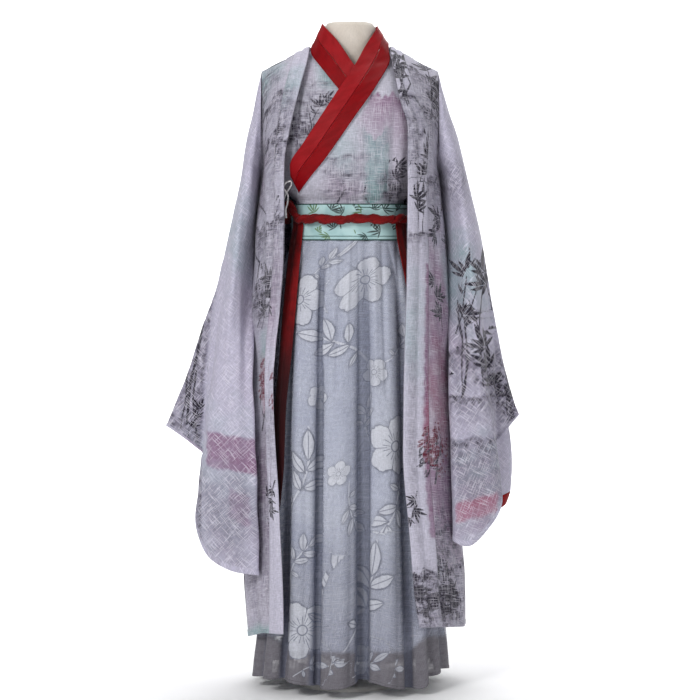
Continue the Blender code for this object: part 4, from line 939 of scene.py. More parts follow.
# %% Robe print, fronts and back
draws = np.random.default_rng(23)
paint(
    fronts["left"], draws,
    pools=[("mint", 250, 85, 50, 60, 0.8), ("mint", 272, 362, 50, 75, 1), ("mauve", 262, 470, 60, 80, 0.6),
           ("rose", 268, 385, 35, 70, 0.8), ("mint", 262, 634, 200, 16, 0.9),
           ("mauve", 250, 190, 50, 100, 0.55), ("grey", 262, 530, 120, 240, 0.42),
           ("grey", 258, 200, 70, 200, 0.75), ("grey", 262, 300, 60, 60, 0.8),
           ("grey", 262, 100, 50, 70, 0.8)],
    ridges=[("grey", 258, 112, 20, 60, 0.95), ("grey", 258, 160, 30, 90, 1), ("grey", 258, 228, 26, 80, 1),
            ("grey", 258, 300, 20, 40, 0.95), ("mauve", 262, 520, 20, 100, 0.4)],
    trunks=[([(256, 150), (262, 172), (258, 196), (266, 214)], 3, 1.8),
            ([(252, 238), (260, 262), (256, 290)], 2.6, 1.4)],
    rough=[("ink", 258, 130, 30, 70, 34, 70, 16, 1.6), ("ink", 258, 205, 30, 80, 44, 110, 18, 1.8),
           ("ink", 262, 285, 25, 50, 26, 80, 14, 1.6), ("red", 264, 380, 24, 50, 60, 30, 12, 3.2),
           ("ink", 264, 400, 20, 45, 12, 100, 26, 1.5), ("ink", 268, 440, 20, 30, 8, 80, 20, 1.3)],
    stands=[(258, 330, 80, 100, 2, 40), (272, 545, 95, 100, 1, 34)],
    boughs=[(262, 430, 70, 140, 24)],
)
paint(
    fronts["right"], draws,
    pools=[("mauve", 440, 330, 70, 200, 0.85), ("rose", 440, 400, 60, 120, 0.4),
           ("mauve", 445, 500, 80, 130, 0.95), ("mint", 455, 285, 50, 100, 0.6),
           ("grey", 450, 120, 100, 80, 0.7), ("mint", 428, 570, 40, 30, 0.6),
           ("grey", 448, 190, 60, 60, 0.55), ("grey", 440, 606, 120, 70, 1),
           ("grey", 450, 440, 50, 240, 0.45), ("grey", 444, 550, 70, 100, 0.75)],
    ridges=[("grey", 445, 80, 22, 60, 1), ("grey", 450, 130, 26, 80, 1), ("grey", 450, 180, 20, 55, 0.95),
            ("grey", 440, 560, 20, 50, 1), ("grey", 440, 592, 16, 50, 1)],
    trunks=[([(440, 96), (448, 122), (446, 150)], 3, 1.6), ([(432, 600), (446, 590), (458, 596)], 4, 2),
            ([(428, 618), (442, 610), (454, 616)], 3.4, 2), ([(430, 582), (440, 572), (452, 576)], 3, 1.6)],
    rough=[("ink", 444, 602, 50, 35, 90, 8, 26, 2.2), ("ink", 440, 572, 50, 18, 40, 84, 16, 1.5),
           ("ink", 446, 110, 30, 60, 30, 60, 18, 1.7), ("ink", 448, 180, 30, 60, 30, 110, 18, 1.7),
           ("red", 432, 448, 22, 42, 40, 20, 12, 3), ("ink", 436, 452, 22, 45, 30, 40, 20, 2)],
    stands=[(432, 120, 70, 130, 2, 56), (450, 190, 250, 120, 2, 46), (440, 330, 80, 100, 1, 40),
            (448, 622, 80, 70, 2, 36)],
    boughs=[(436, 484, 70, 100, 22)],
)
paint(
    back, draws, behind=True,
    pools=[("mint", 300, 180, 90, 120, 0.7), ("mauve", 400, 300, 100, 160, 0.8),
           ("mint", 330, 480, 120, 100, 0.7), ("rose", 410, 420, 60, 80, 0.6),
           ("grey", 350, 560, 300, 100, 0.5), ("grey", 350, 160, 200, 100, 0.5)],
    ridges=[("grey", 350, 110, 30, 70, 0.95), ("grey", 350, 215, 40, 80, 0.95), ("grey", 350, 560, 30, 70, 1),
            ("grey", 350, 610, 20, 60, 1)],
    trunks=[([(300, 470), (312, 430), (304, 390), (318, 350)], 4.5, 2.5),
            ([(404, 200), (396, 235), (402, 262)], 3.5, 2)],
    stands=[(300, 330, 80, 160, 4, 55), (400, 200, 250, 140, 4, 55), (350, 600, 90, 140, 4, 50)],
    boughs=[(300, 440, 60, 220, 40), (318, 400, 120, 180, 36)],
    rough=[("ink", 350, 600, 160, 30, 120, 8, 30, 1.8),
           ("ink", 350, 130, 140, 30, 60, 80, 18, 1.6),
           ("ink", 350, 240, 140, 30, 60, 80, 18, 1.6)],
)
paint(
    lapels["left"], draws,
    pools=[("grey", 270, 250, 80, 160, 0.45), ("mint", 285, 85, 50, 50, 0.6),
           ("mauve", 272, 300, 30, 100, 0.5), ("grey", 274, 130, 40, 90, 0.9),
           ("grey", 272, 430, 30, 100, 0.4)],
    ridges=[("grey", 268, 140, 20, 60, 0.9), ("grey", 268, 215, 20, 70, 0.9)],
    rough=[("ink", 272, 140, 20, 60, 26, 100, 16, 1.5),
           ("ink", 272, 220, 20, 60, 26, 80, 16, 1.5),
           ("red", 274, 392, 12, 40, 18, 60, 10, 2.2)],
    stands=[(270, 300, 250, 60, 1, 30), (276, 480, 265, 60, 1, 30)],
)
paint(
    lapels["right"], draws,
    pools=[("grey", 415, 130, 60, 100, 0.6), ("mint", 412, 330, 30, 120, 0.4),
           ("rose", 430, 420, 16, 100, 0.7), ("grey", 425, 604, 80, 60, 1),
           ("grey", 412, 430, 12, 300, 0.35)],
    blocks=[("mauve", 430, 402, 19, 280, 1, 0)],
    ridges=[("grey", 415, 100, 15, 50, 0.9), ("grey", 420, 232, 12, 22, 1),
            ("grey", 420, 575, 20, 80, 0.9)],
    trunks=[([(404, 100), (410, 84), (400, 66)], 2.2, 1.2)],
    rough=[("red", 427, 446, 16, 40, 44, 20, 11, 3), ("ink", 427, 454, 16, 44, 34, 60, 18, 2),
           ("ink", 424, 604, 40, 30, 50, 8, 24, 2.2), ("ink", 420, 578, 30, 16, 26, 84, 14, 1.5)],
    stands=[(404, 100, 80, 90, 3, 52), (420, 190, 80, 100, 2, 44), (418, 236, 85, 60, 2, 40),
            (420, 500, 255, 60, 1, 28)],
)
print("painted", len(fronts) + len(lapels) + 1, "pieces")

# %% [markdown]
# ### Wide sleeves
# A sleeve is a tube from the armhole to a mouth that hangs in a deep fold. Its rings run from the shoulder to
# the mouth, and the fold grows along the way.

# %% Robe sleeves
SLEEVES = {  # fold x and z, seam x and z, half depth, and 1000 times how far the hanging pleat is made
    -1: mm((189, 1270, 186, 1078, 64, 0), (200, 1215, 189, 1062, 72, 0), (212, 1165, 192, 1044, 79, 0),
           (228, 1070, 197, 1000, 86, 20), (249, 965, 202, 915, 92, 100), (272, 870, 206, 812, 95, 350),
           (303, 780, 210, 690, 98, 650), (333, 690, 213, 550, 101, 850), (361, 617, 215, 405, 104, 950),
           (378, 575, 216, 275, 106, 1000)),
    1: mm((189, 1270, 186, 1078, 64, 0), (205, 1215, 189, 1062, 72, 0), (222, 1165, 192, 1046, 79, 0),
          (244, 1075, 197, 1004, 86, 20), (269, 970, 201, 928, 92, 100), (285, 875, 205, 835, 95, 350),
          (301, 785, 210, 720, 98, 650), (317, 705, 215, 595, 101, 850), (336, 635, 221, 465, 104, 950),
          (348, 598, 226, 345, 106, 1000)),
}
# The mouth once round, from the top fold along the front to the seam and back behind. Across runs from the
# fold to the seam, depth from the front to behind, and drop from the fold's height to the seam's, in %.
BEHIND = [(98, 36, 93), (82, 70, 80)]
MOUTHS = {  # across, depth, drop
    -1: [(0, 0, 0), (16, -16, 5), (34, -24, 12), (47, -32, 19),
         (44.5, -46, 30), (41, -58, 44), (39.5, -72, 58), (43, -88, 72),
         (57, -100, 86), (85, -109, 94.5), (117, -112, 97.5), (104, -68, 98.5),
         (103, -20, 99), *BEHIND, (62, 84, 60), (53, 78, 38), (38, 55, 17)],
    1: [(0, 0, 0), (14, -16, 7), (27, -24, 15), (38.5, -32, 23.5),
        (37, -46, 35), (33.5, -58, 47), (31.5, -72, 58.5), (33.5, -86, 70),
        (48, -100, 83), (82, -105, 101), (106, -98, 98), (102, -62, 96),
        (101, -20, 98), *BEHIND, (60, 84, 62), (48, 80, 42), (31, 58, 20)],
}
MOUTH_SEAM = 12  # which point of the mouth is the seam
SLEEVE_CREASES = {
    "left": [
        (250, 215, 243, 420, 7, -4.6), (243, 190, 226, 330, 8, 3.4), (232, 250, 214, 430, 7, -3.4),
        (222, 300, 208, 520, 9, 3.4), (247, 330, 246, 555, 8, -4.8), (238, 420, 237, 570, 7, 3),
        (226, 440, 222, 560, 7, -3), (252, 160, 246, 240, 6, 3), (190, 350, 178, 430, 6, -2.4),
        (205, 320, 190, 440, 6, 2.2), (240, 270, 238, 400, 5, 2.6), (254, 240, 252, 380, 5, 2.4),
        (231, 330, 228, 440, 5, -2.2), (214, 440, 213, 560, 6, 2), (229, 215, 212, 310, 4, -5),
        (217, 280, 204, 372, 4, -6.5), (207, 350, 200, 456, 4, -7.5), (223, 260, 208, 372, 5, 3),
        (212, 340, 207, 456, 5, 3.4),
    ],
    "right": [
        (452, 195, 460, 400, 7, -4.6), (458, 180, 478, 330, 8, 3.4), (466, 250, 480, 400, 7, -3.2),
        (460, 330, 464, 520, 8, -4.8), (478, 300, 486, 430, 8, 3.2), (470, 420, 474, 530, 7, 3),
        (484, 430, 488, 520, 6, -2.4), (449, 150, 452, 240, 6, 3), (500, 340, 516, 410, 6, -2.4),
        (455, 420, 458, 540, 6, 2.6), (468, 220, 484, 300, 6, -2.4), (488, 290, 499, 360, 4, -5),
        (497, 340, 499, 446, 4, -6.5), (492, 340, 493, 446, 5, 3),
    ],
}
CREASES_BEHIND = [  # across is counted outward from the middle of the view
    (102, 122, 170, 420, 10, -2.4), (112, 150, 200, 400, 12, 2.2), (105, 112, 330, 560, 11, 2.2),
    (125, 150, 330, 500, 10, -2.2), (118, 122, 450, 570, 9, -1.8),
]


def tuck(grid, side):
    """Moves a sleeve's inner side close to the body: behind its edge above the hip, in front of it below."""
    x, y, z = side * grid[..., 0], grid[..., 1], grid[..., 2]
    levels = np.linspace(0.3, 1.3, 101)
    inner = [x[abs(z - level) < 0.02].min(initial=1.0) for level in levels]
    inner = [value if value < 1 else 0.2 for value in inner]
    near = np.exp(-(((x - np.interp(z, levels, inner)) / 0.028) ** 2))
    high = smooth_step(z, 0.7, 0.84) * smooth_step(z, 1.135, 1.09)
    low = smooth_step(z, 0.84, 0.7) * smooth_step(abs(y), 0.035, 0.065)
    grid[..., 0] -= side * near * (0.0065 * high + (0.008 if side > 0 else 0.005) * low)
    grid[..., 1] += near * high * 0.045
    return grid


sleeves = {}
for word, side in SIDES.items():
    angles = round_angles(MOUTH_SEAM * 4, (18 - MOUTH_SEAM) * 4)
    ring = armhole_ring(ROBE, ROBE_SHOULDER, 0.1812, angles)
    mouth = curve_through(np.array(MOUTHS[side]) / 100, len(angles), closed=True).T
    coarse = tuck(reach(sleeve_rings(SLEEVES[side], 24, angles, ring, side, mouth), (0, 0), by=0.0016), side)
    cloth = Cloth(finer(coarse, 196, 208, closed=True), closed=True)
    crease(cloth, SLEEVE_CREASES[word])
    out = lambda across: 350 + side * across
    crease(cloth, [(out(a), *row[:1], out(b), *row[1:]) for a, b, *row in CREASES_BEHIND], behind=True)
    fade = np.clip((cloth.v[-1].max() - cloth.v) / 0.05, 0, 1)
    even = ripple(cloth.u, cloth.v, cloth.width.mean() / 5, np.random.default_rng(5))
    cloth.push(0.0012 * fade * even * np.sqrt(np.sin(math.pi * np.arange(208) / 208)))
    cloth.face_on()
    sleeves[word] = cloth
print("sleeves", sleeves["left"].grid.shape[:2])

# %% Sleeve print
draws = np.random.default_rng(29)
paint(
    sleeves["left"], draws,
    pools=[("mint", 242, 240, 40, 100, 0.35), ("mauve", 250, 300, 20, 200, 0.2),
           ("mauve", 228, 520, 100, 140, 0.3), ("mint", 224, 500, 100, 160, 0.34),
           ("grey", 226, 520, 80, 90, 0.3)],
    blocks=[("mauve", 232, 454, 56, 38, 0.95, -0.16), ("mauve", 240, 510, 24, 34, 0.7, -0.5)],
)
# Painted shade: on the left sleeve's front, the cloth beyond the fold line, which lies in the fold's shadow,
# is washed grey.
x, z = as_seen(sleeves["left"].grid)
edge = np.interp(z, [in_view(0, down)[1] for down in (456, 372, 310, 215)],
                 [in_view(across, 0)[0] for across in (201, 204, 212, 229)])
sleeves["left"].wash("grey", 0.62 * smooth_step(x, edge + 0.002, edge - 0.002))
paint(
    sleeves["left"], draws,
    trunks=[([(192, 322), (198, 352), (190, 384), (186, 424)], 3.4, 2.4),
            ([(180, 372), (186, 396), (180, 428)], 2.6, 1.6),
            ([(196, 370), (193, 400), (197, 438)], 2.2, 1.6)],
    stands=[(188, 436, 85, 60, 1, 26)],
)
paint(
    sleeves["left"], draws, behind=True,
    pools=[("grey", 190, 380, 200, 200, 0.6), ("mint", 230, 300, 80, 140, 0.5),
           ("mauve", 225, 520, 100, 60, 0.4)],
    trunks=[([(190, 318), (196, 350), (188, 380), (184, 420)], 3.6, 2.4),
            ([(200, 330), (202, 372), (196, 424)], 2.6, 2),
            ([(190, 352), (182, 380), (176, 398)], 2.2, 1.2)],
    stands=[(232, 480, 90, 180, 3, 60), (180, 430, 85, 60, 1, 26)],
)
paint(
    sleeves["right"], draws,
    pools=[("mint", 455, 290, 60, 120, 0.6), ("mint", 482, 490, 60, 100, 0.5),
           ("mauve", 482, 500, 60, 100, 0.55), ("grey", 490, 370, 100, 50, 0.7),
           ("grey", 510, 392, 50, 80, 0.95), ("mauve", 460, 330, 40, 80, 0.4),
           ("grey", 455, 180, 40, 50, 0.5)],
    blocks=[("rose", 478, 508, 45, 22, 0.6, 0.25)],
    ridges=[("grey", 490, 352, 30, 50, 1, 140), ("grey", 480, 396, 14, 40, 0.95, 120),
            ("grey", 480, 436, 12, 80, 0.75, 120), ("grey", 512, 372, 20, 90, 1, 50)],
    trunks=[([(462, 398), (468, 360), (464, 320)], 2.4, 1.6)],
    stands=[(466, 395, 84, 180, 2, 66), (480, 380, 95, 180, 2, 64), (464, 330, 70, 120, 2, 58),
            (504, 410, 100, 120, 2, 50), (486, 310, 110, 80, 1, 55)],
)
paint(
    sleeves["right"], draws, behind=True,
    pools=[("mint", 470, 330, 80, 140, 0.5), ("grey", 500, 400, 140, 140, 0.6)],
    stands=[(470, 440, 90, 180, 4, 60)], boughs=[(480, 420, 60, 140, 30)],
)

# %% Laying the robe
STRIP_THICK = 0.0012  # what a lapel or collar strip shows at its edges


def lay_hemmed(name, cloth, material, slot, node, held, rests_on, hem_name, **hem_size):
    """A cloth and its hem."""
    lay(name, cloth, material, slot, node,
        with_pieces=[hem_of(hem_name, cloth, material, slot, **hem_size)])


lay_hemmed("robe_back_cloth", back, gauze, "robe", "robe_back", "hung", "form_torso", "robe_back_hem")
for word in SIDES:
    front = "robe_front_cloth_" + word
    lay_hemmed(front, fronts[word], gauze, "robe", "robe_front_" + word, "hung", "form_torso",
               "robe_front_hem_" + word)
    lay("robe_lapel_band_" + word, lapels[word], lapel_gauze, "lapel", "robe_lapel_" + word,
        STRIP_THICK)
    lay_hemmed("robe_sleeve_cloth_" + word, sleeves[word], sleeve_gauze, "robe", "robe_sleeve_" + word,
               "hung", front, "robe_sleeve_hem_" + word)

# %% [markdown]
# The lapel bands go on behind as a neckband, which lies on the shoulders and stands a little off the back.

# %% Robe neckband
BAND_X, BAND_BELOW = 0.129, 0.062  # how far out and down the band's outer edge runs
across, t = np.sin(np.radians(90 - 180 * np.arange(49) / 48)), np.linspace(1, 0, 9)[:, None]
low = ridge_height(ROBE_SHOULDER, BAND_X) - BAND_BELOW * np.sqrt(np.maximum(1 - across**2, 0))
neck_x = ROBE_SHOULDER["neck_x"] * across
x, z = neck_x * (1 - t) + BAND_X * across * t, neckline(ROBE_SHOULDER, neck_x) * (1 - t) + low * t
y = surface_y(ROBE, ROBE_SHOULDER, x, z, behind=True)
y[:, (0, -1)] = ROBE_SHOULDER["y"] + SEAM_GAP
strip = np.stack([x, y, z], -1)
normals = normals_of(strip)
for k in (0, -1):
    normals[:, k, 1] = 0
    normals[:, k] /= np.linalg.norm(normals[:, k], axis=-1, keepdims=True)
ends = np.clip(np.minimum(np.arange(49), 48 - np.arange(49)) / 6, 0, 1)[:, None]
neckband = Cloth(finer(strip + normals * (SEAM_GAP + BAND + LOOSE * ends), 24, 160))
ends = np.interp(np.arange(160), (0, 20, 139, 159), (0.2, 1, 1, 0.2))
fold_band(neckband, neckband.v / neckband.v[-1], 0.0, ends, 0.0016, 0.0009, 0.05)
paint(neckband, behind=True, pools=[("grey", 350, 80, 200, 20, 0.3), ("mint", 320, 70, 50, 30, 0.4)])
lay("robe_neckband_cloth", neckband, lapel_gauze, "lapel", "robe_neckband",
    STRIP_THICK)

# %% [markdown]
# ## The top
# The cross-collar top closes with the wearer's left front over the right one. The upper front has a seam
# down its middle, and stands a few millimetres off the lower one where they overlap.

# %% Top panels
TOP = mm(  # height, half widths to the left and right, depths to the front and back
    (962, 110.5, 110.5, 88.5, 89), (1034, 110.5, 110.5, 88.5, 89), (1048, 123, 123, 99, 96),
    (1075, 145, 145, 114, 105), (1115, 163, 163, 127, 111), (1150, 167, 167, 134, 113),
    (1190, 170, 170, 135, 113),
)
TOP_SHOULDER = {"neck_x": 0.07, "neck_z": 1.348, "tip_x": 0.163, "underarm": 1.115, "y": 0.004,
                "round": (1.55, 1.8), "nape": 1.331}
TOP_LEVELS = mm((962, 1000, 1034, 1041, 1048, 1056, 1064, 1075, 1086, 1100))[0]
UNDER_EDGE = mm((962, 40), (1180, 34), (1262, -18), (1300, -46), (1348, -70))
OVER_EDGE = mm((962, -100), (1060, -103), (1100, -86), (1230, 2), (1300, 48), (1348, 70))
OVERLAP_LIFT = 0.006  # how far the upper front stands off the lower one


def even_angle(column, columns, start, end, side, z):
    return start + (end - start) * column / (columns - 1)


def over_lift(degrees, v):
    return OVERLAP_LIFT * np.clip((86 - degrees) / 40, 0, 1) * (1 - v**3)


top_hem = lambda degrees: TOP_LEVELS[0] + 0 * degrees
top_low = (TOP_LEVELS - TOP_LEVELS[0]) / (TOP_SHOULDER["underarm"] - TOP_LEVELS[0])
tops = (0.163, 0.151, 0.136, 0.115, 0.092, 0.081, 0.07, 0.058, 0.046, 0.034, 0.022, 0.011)
coarse = back_grid(TOP, {**TOP_SHOULDER, "nape": 1.345}, top_hem, top_low, 10, tops)  # up under the collar
top_back = Cloth(finer(reach(coarse, (1, 0), (1, -1)), 90, 90), anchor=45)
top_fronts = {}
for word, edge, side, lift, columns in (
    ("under", UNDER_EDGE, -1, None, 96),
    ("over", OVER_EDGE, 1, over_lift, 100),
):
    coarse = front_grid(TOP, TOP_SHOULDER, edge, side, top_hem, top_low, 10, 25, even_angle, lift)
    outer = 0 if side < 0 else -1
    top_fronts[word] = Cloth(finer(reach(coarse, (0, -1), (1, outer)), 130, columns), anchor=outer)

crease(top_fronts["over"], [
    (364, 112, 366, 212, 2.4, -2.6), (346, 160, 352, 210, 7, 2.6), (384, 130, 380, 210, 8, 2.4),
    (330, 190, 372, 198, 5, 1.6), (395, 100, 392, 200, 7, -2.8), (373, 120, 375, 206, 5, 1.6),
    (352, 188, 398, 194, 4, -1.4), (402, 150, 396, 210, 6, 2.2), (338, 176, 344, 210, 4, -1.8),
    (356, 140, 358, 206, 5, -1.6), (388, 160, 387, 210, 4, -1.8),
])
crease(top_fronts["under"], [
    (312, 80, 303, 150, 6, 2.4), (322, 70, 330, 110, 6, -2), (300, 90, 296, 160, 5, -2.6),
    (305, 130, 320, 112, 4, 1.6),
])
draws = np.random.default_rng(31)
for cloth in (*top_fronts.values(), top_back):
    cloth.push(0.0007 * ripple(cloth.u, cloth.v, 0.07, draws))
    cloth.face_on()
print("top front", top_fronts["over"].grid.shape[:2])

# %% Top print
draws = np.random.default_rng(37)
paint(
    top_fronts["over"], draws,
    pools=[("mint", 345, 150, 40, 50, 0.4), ("mauve", 345, 190, 50, 30, 0.4), ("grey", 396, 188, 40, 40, 0.8),
           ("grey", 345, 180, 50, 60, 0.5)],
    blocks=[("mint", 378, 176, 26, 52, 0.9, 0.9)],
    ridges=[("mauve", 392, 112, 50, 100, 1, 50), ("mint", 376, 138, 40, 120, 1, 22),
            ("grey", 345, 156, 10, 18, 0.8, 50), ("grey", 345, 171, 8, 20, 0.85, 50),
            ("grey", 345, 188, 10, 26, 0.8, 50)],
    trunks=[([(334, 208), (344, 190), (340, 172)], 2.4, 1.2),
            ([(370, 206), (364, 196), (366, 182)], 2.2, 1.2)],
    stands=[(392, 206, 95, 70, 2, 30)],
)
paint(
    top_fronts["under"], draws,
    pools=[("grey", 300, 130, 50, 60, 0.95), ("mint", 332, 75, 30, 30, 0.8), ("grey", 318, 95, 40, 40, 0.5),
           ("mauve", 306, 70, 30, 30, 0.3)],
    ridges=[("grey", 310, 84, 8, 14, 0.9), ("grey", 310, 100, 8, 16, 0.9),
            ("grey", 305, 118, 10, 40, 1)],
    trunks=[([(302, 150), (312, 128), (308, 106)], 2.2, 1.2)],
    stands=[(316, 116, 80, 50, 1, 26)],
)
paint(top_back, behind=True, pools=[("grey", 350, 120, 100, 50, 0.5), ("mint", 380, 170, 50, 60, 0.7)])

# %% Laying the top
INNER_SLEEVES = {  # fold x and z, seam x and z, half depth, middle from front to back
    -1: mm((174, 1270, 173, 1126, 34, -3), (186, 1238, 185, 1112, 36, -2), (196, 1180, 196, 1082, 42, 0),
           (211, 1100, 204, 1030, 50, 4), (232, 970, 211, 925, 50, 6), (254, 860, 218, 800, 46, 10),
           (278, 740, 224, 665, 40, 14), (292, 620, 230, 545, 34, 16), (294, 520, 234, 455, 32, 16),
           (290, 465, 236, 405, 31, 16)),
    1: mm((174, 1270, 173, 1126, 34, -3), (186, 1238, 185, 1112, 36, -2), (199, 1180, 196, 1082, 42, 0),
          (221, 1100, 204, 1030, 50, 4), (250, 970, 211, 925, 50, 6), (270, 860, 218, 800, 46, 10),
          (289, 750, 224, 680, 40, 14), (311, 650, 231, 590, 34, 16), (332, 555, 238, 500, 32, 16),
          (337, 490, 242, 445, 31, 16), (333.5, 438, 245, 405, 31, 16)),
}
lay("top_back_cloth", top_back, top_gauze, "top", "top_back")
for word, under in (("under", "form_torso"), ("over", "top_front_under_cloth")):
    lay(f"top_front_{word}_cloth", top_fronts[word], top_gauze, "top", "top_front_" + word)
for word, side in SIDES.items():
    angles = round_angles(24, 24)
    ring = armhole_ring(TOP, TOP_SHOULDER, TOP_SHOULDER["tip_x"] + SEAM_GAP, angles)
    coarse = sleeve_rings(INNER_SLEEVES[side], 24, angles, ring, side)
    cloth = Cloth(finer(coarse, 120, 64, closed=True), closed=True)
    crease(cloth, [(350 + side * a, high, 350 + side * b, low, *size) for a, high, b, low, *size in (
        (155, 430, 160, 480, 6, 1.4), (148, 400, 152, 480, 6, -1.4), (162, 440, 163, 482, 5, -1))])
    cloth.face_on()
    lay("top_sleeve_cloth_" + word, cloth, sleeve_gauze, "top", "top_sleeve_" + word)

# %% [markdown]
# ### The satin collar
# The collar is two strips of crimson satin, sewn side by side along a crisp fold: the strip at the neck has
# its duller side out. Satin is woven so that long floating threads lie on its face, and they give it a soft
# sheen along one direction. Cuff bands of the same satin finish the top's own sleeves.

# %% Satin
def satin(name, hue, shade_hue, rough=0.5, sheen=0.0):
    made, node, shader = finish(name, Roughness=rough, IOR=1.57, Specular_IOR_Level=0.1, Sheen_Weight=sheen)
    flat = node("UVMap", uv_map="flat")
    ribs, _ = threads(node, flat, (1.2, 20.0), 0.35, 0.7)
    cloudy = node("TexNoise", flat, 38.0, 4.0, 0.6)
    share = node("ADD", node("MULTIPLY", ribs, 0.25), node("MapRange", cloudy, 0.35, 0.7))
    colour = node("Mix", node("MULTIPLY", share, 0.7, use_clamp=True), hue, shade_hue)
    # The wash's second layer is painted shade: where it is set, the satin is darkened towards a near black
    # red.
    deep = node("SeparateColor", node("Attribute", attribute_name="wash"), out=1)
    relief = (node("ADD", ribs, cloudy), 0.35, 0.0004)
    wire(shader, node("Mix", deep, colour, "#26060a"), relief,
         Roughness=node("MULTIPLY_ADD", cloudy, 0.2, rough - 0.1))
    return made


crimson = satin("crimson_satin", "#840008", "#700006")
coral = satin("coral_satin", "#96131a", "#800c12", 0.52)

# %% Collar and cuffs
COLLAR = [
    # Its path starts under the wrap, goes up the one side, round the neck and down the other. A row is neck
    # edge x, y, z, outer edge x, y, z, how far out. None for y: that far out from the top's surface.
    (26, None, 1284, 0, None, 1232, 2.8), (8, None, 1310, -19.3, None, 1255.4, 2.8),
    (-24.7, -60, 1360, -54, None, 1300, 2.8), (-49, -34, 1388, -79, -33, 1338, 2.8),
    (-56.5, -2, 1400, -70, 2, 1364, 0), (-42, 44, 1393, -53, 56, 1349, 0), (0, 64, 1386, 0, 76.5, 1340, 0),
    (42, 44, 1391, 56, 56, 1349, 0), (56, -2, 1395, 76, 2, 1362, 0), (47, -37, 1376, 79, -35, 1340, 0),
    (29, -62, 1347, 78, None, 1312, 8.5), (9.1, None, 1308.9, 44.2, None, 1253.3, 10.4),
    (-40.1, None, 1232.6, 12, None, 1207.6, 10.4), (-90.3, None, 1156.5, -43, None, 1129, 10.4),
    (-118, None, 1117.1, -82, None, 1081, 10.4), (-120.2, None, 1087.2, -103.4, None, 1053, 10.4),
]
COLLAR_WIDTH = 0.052


def on_chest(x, y, z, out):
    return surface_y(TOP, TOP_SHOULDER, x, z) - out if np.isnan(y) else y


rows = [[nx, on_chest(nx, ny, nz, out), nz, ox, on_chest(ox, oy, oz, out), oz, out]
        for nx, ny, nz, ox, oy, oz, out in mm(*COLLAR)]
path = curve_through(rows, 181)
gap = SEAM_GAP / 2 / COLLAR_WIDTH
for name, node, material, slot, edges in (
    ("collar_neck_strip", "top_collar_facing", coral, "collar_inner", (0.5 - gap, 0)),
    ("collar_outer_strip", "top_collar", crimson, "collar", (1, 0.5 + gap)),
):
    share = np.linspace(*edges, 10)[:, None, None]
    grid = path[:, :3] * (1 - share) + path[:, 3:6] * share
    clear = surface_y(TOP, TOP_SHOULDER, grid[..., 0], grid[..., 2]) - path[:, 6]
    grid[..., 1] = np.where(path[:, 6] > 0.0005, np.minimum(grid[..., 1], clear), grid[..., 1])
    cloth = Cloth(finer(grid, 14, 320))
    roll = 0.0009 * np.sqrt(np.clip(np.sin(math.pi * cloth.v / cloth.v[-1]), 0, 1))
    cloth.push(roll + 0.00025 * ripple(cloth.u, cloth.v * 3, 0.045, np.random.default_rng(3)))
    crease(cloth, [
        (324, 40, 338, 56, 3, -0.9), (330, 52, 344, 66, 3, 0.8), (352, 76, 358, 88, 3, -0.7),
        (322, 122, 334, 130, 4, 0.6), (300, 160, 312, 166, 4, -0.6), (372, 62, 384, 66, 4, 0.5),
        (340, 110, 352, 116, 4, -0.5),
    ])
    lay(name, cloth, material, slot, node, STRIP_THICK)

CUFFS = {
    -1: mm((290, 464.5, 236, 404.5, 31, 16), (286, 438, 238, 380, 30, 16)),
    1: mm((333.5, 437.5, 245, 404.5, 31, 16), (324, 410, 248, 372, 30, 16)),
}
for word, side in SIDES.items():
    cloth = Cloth(finer(sleeve_rings(CUFFS[side], 6, round_angles(24, 24), None, side), 18, 84, closed=True),
                  closed=True)
    cloth.push(0.0006 * np.sqrt(np.clip(np.sin(math.pi * cloth.v / cloth.v[-1]), 0, 1)))
    lay("cuff_band_" + word, cloth, crimson, "collar", "top_cuff_" + word,
        STRIP_THICK)

# %% [markdown]
# ### The side tie
# A white cotton cord closes the wrap at the side. It is one cord from free end to free end, and it passes
# through its own loop. It is a tube along a smooth path, with the slant of its twisted yarns in the finish.

# %% Tubes
def tube(name, path, radius, sides, closed, material, bulge=None):
    """A tube along a path, with flat coordinates: how far along it, and how far round."""
    path = np.asarray(path, float)
    along = np.roll(path, -1, 0) - np.roll(path, 1, 0) if closed else np.gradient(path, axis=0)
    along /= np.linalg.norm(along, axis=1, keepdims=True)
    side = np.cross(along, (0.0, 0.0, 1.0))
    side /= np.maximum(np.linalg.norm(side, axis=1, keepdims=True), 1e-9)
    for k in range(1, len(path)):
        if side[k] @ side[k - 1] < 0:
            side[k] *= -1
    up = np.cross(side, along)
    a = -2 * math.pi * np.arange(sides) / sides
    radii = radius * np.ones((len(path), sides)) if bulge is None else radius + bulge(np.arange(len(path)), a)
    ring = np.cos(a)[:, None] * side[:, None] + np.sin(a)[:, None] * up[:, None]
    grid = path[:, None] + radii[..., None] * ring
    first, last = (path[k] + 0 * grid[:1] for k in (0, -1))
    rings = [grid, grid[:1]] if closed else [first, grid, last]
    return mesh_of(name, Cloth(np.concatenate(rings), closed=True), material)


# %% Side tie
SIDE_TIE = [
    (-139.5, -76, 1008), (-137.5, -77.5, 1028), (-131, -80, 1048), (-124, -83.5, 1060), (-118.5, -90, 1070),
    (-120, -97.5, 1076), (-129, -98, 1073), (-134, -94, 1064), (-130, -89.5, 1056), (-125.5, -88.5, 1047),
    (-126.5, -88, 1032), (-130, -86, 1019), (-129, -84, 1002),
]
TIE_DIAMETER = 0.0034
YARN_PITCH = 0.004

cotton, node, shader = finish("white_cotton_cord", Roughness=0.85, IOR=1.53, Specular_IOR_Level=0.25,
                              Sheen_Weight=0.2)
flat = node("UVMap", uv_map="flat")
slant = node("Mapping", flat, (0, 0, math.radians(32)), (1 / YARN_PITCH,) * 3)
yarn = node("TexWave", {"Vector": slant, "Scale": 0.32, "Distortion": 1.2, "Detail": 2.0}, out=1)
wire(shader, node("Mix", yarn, "#b9b6bc", "#e9e8e6"), (yarn, 0.6, 0.0005))

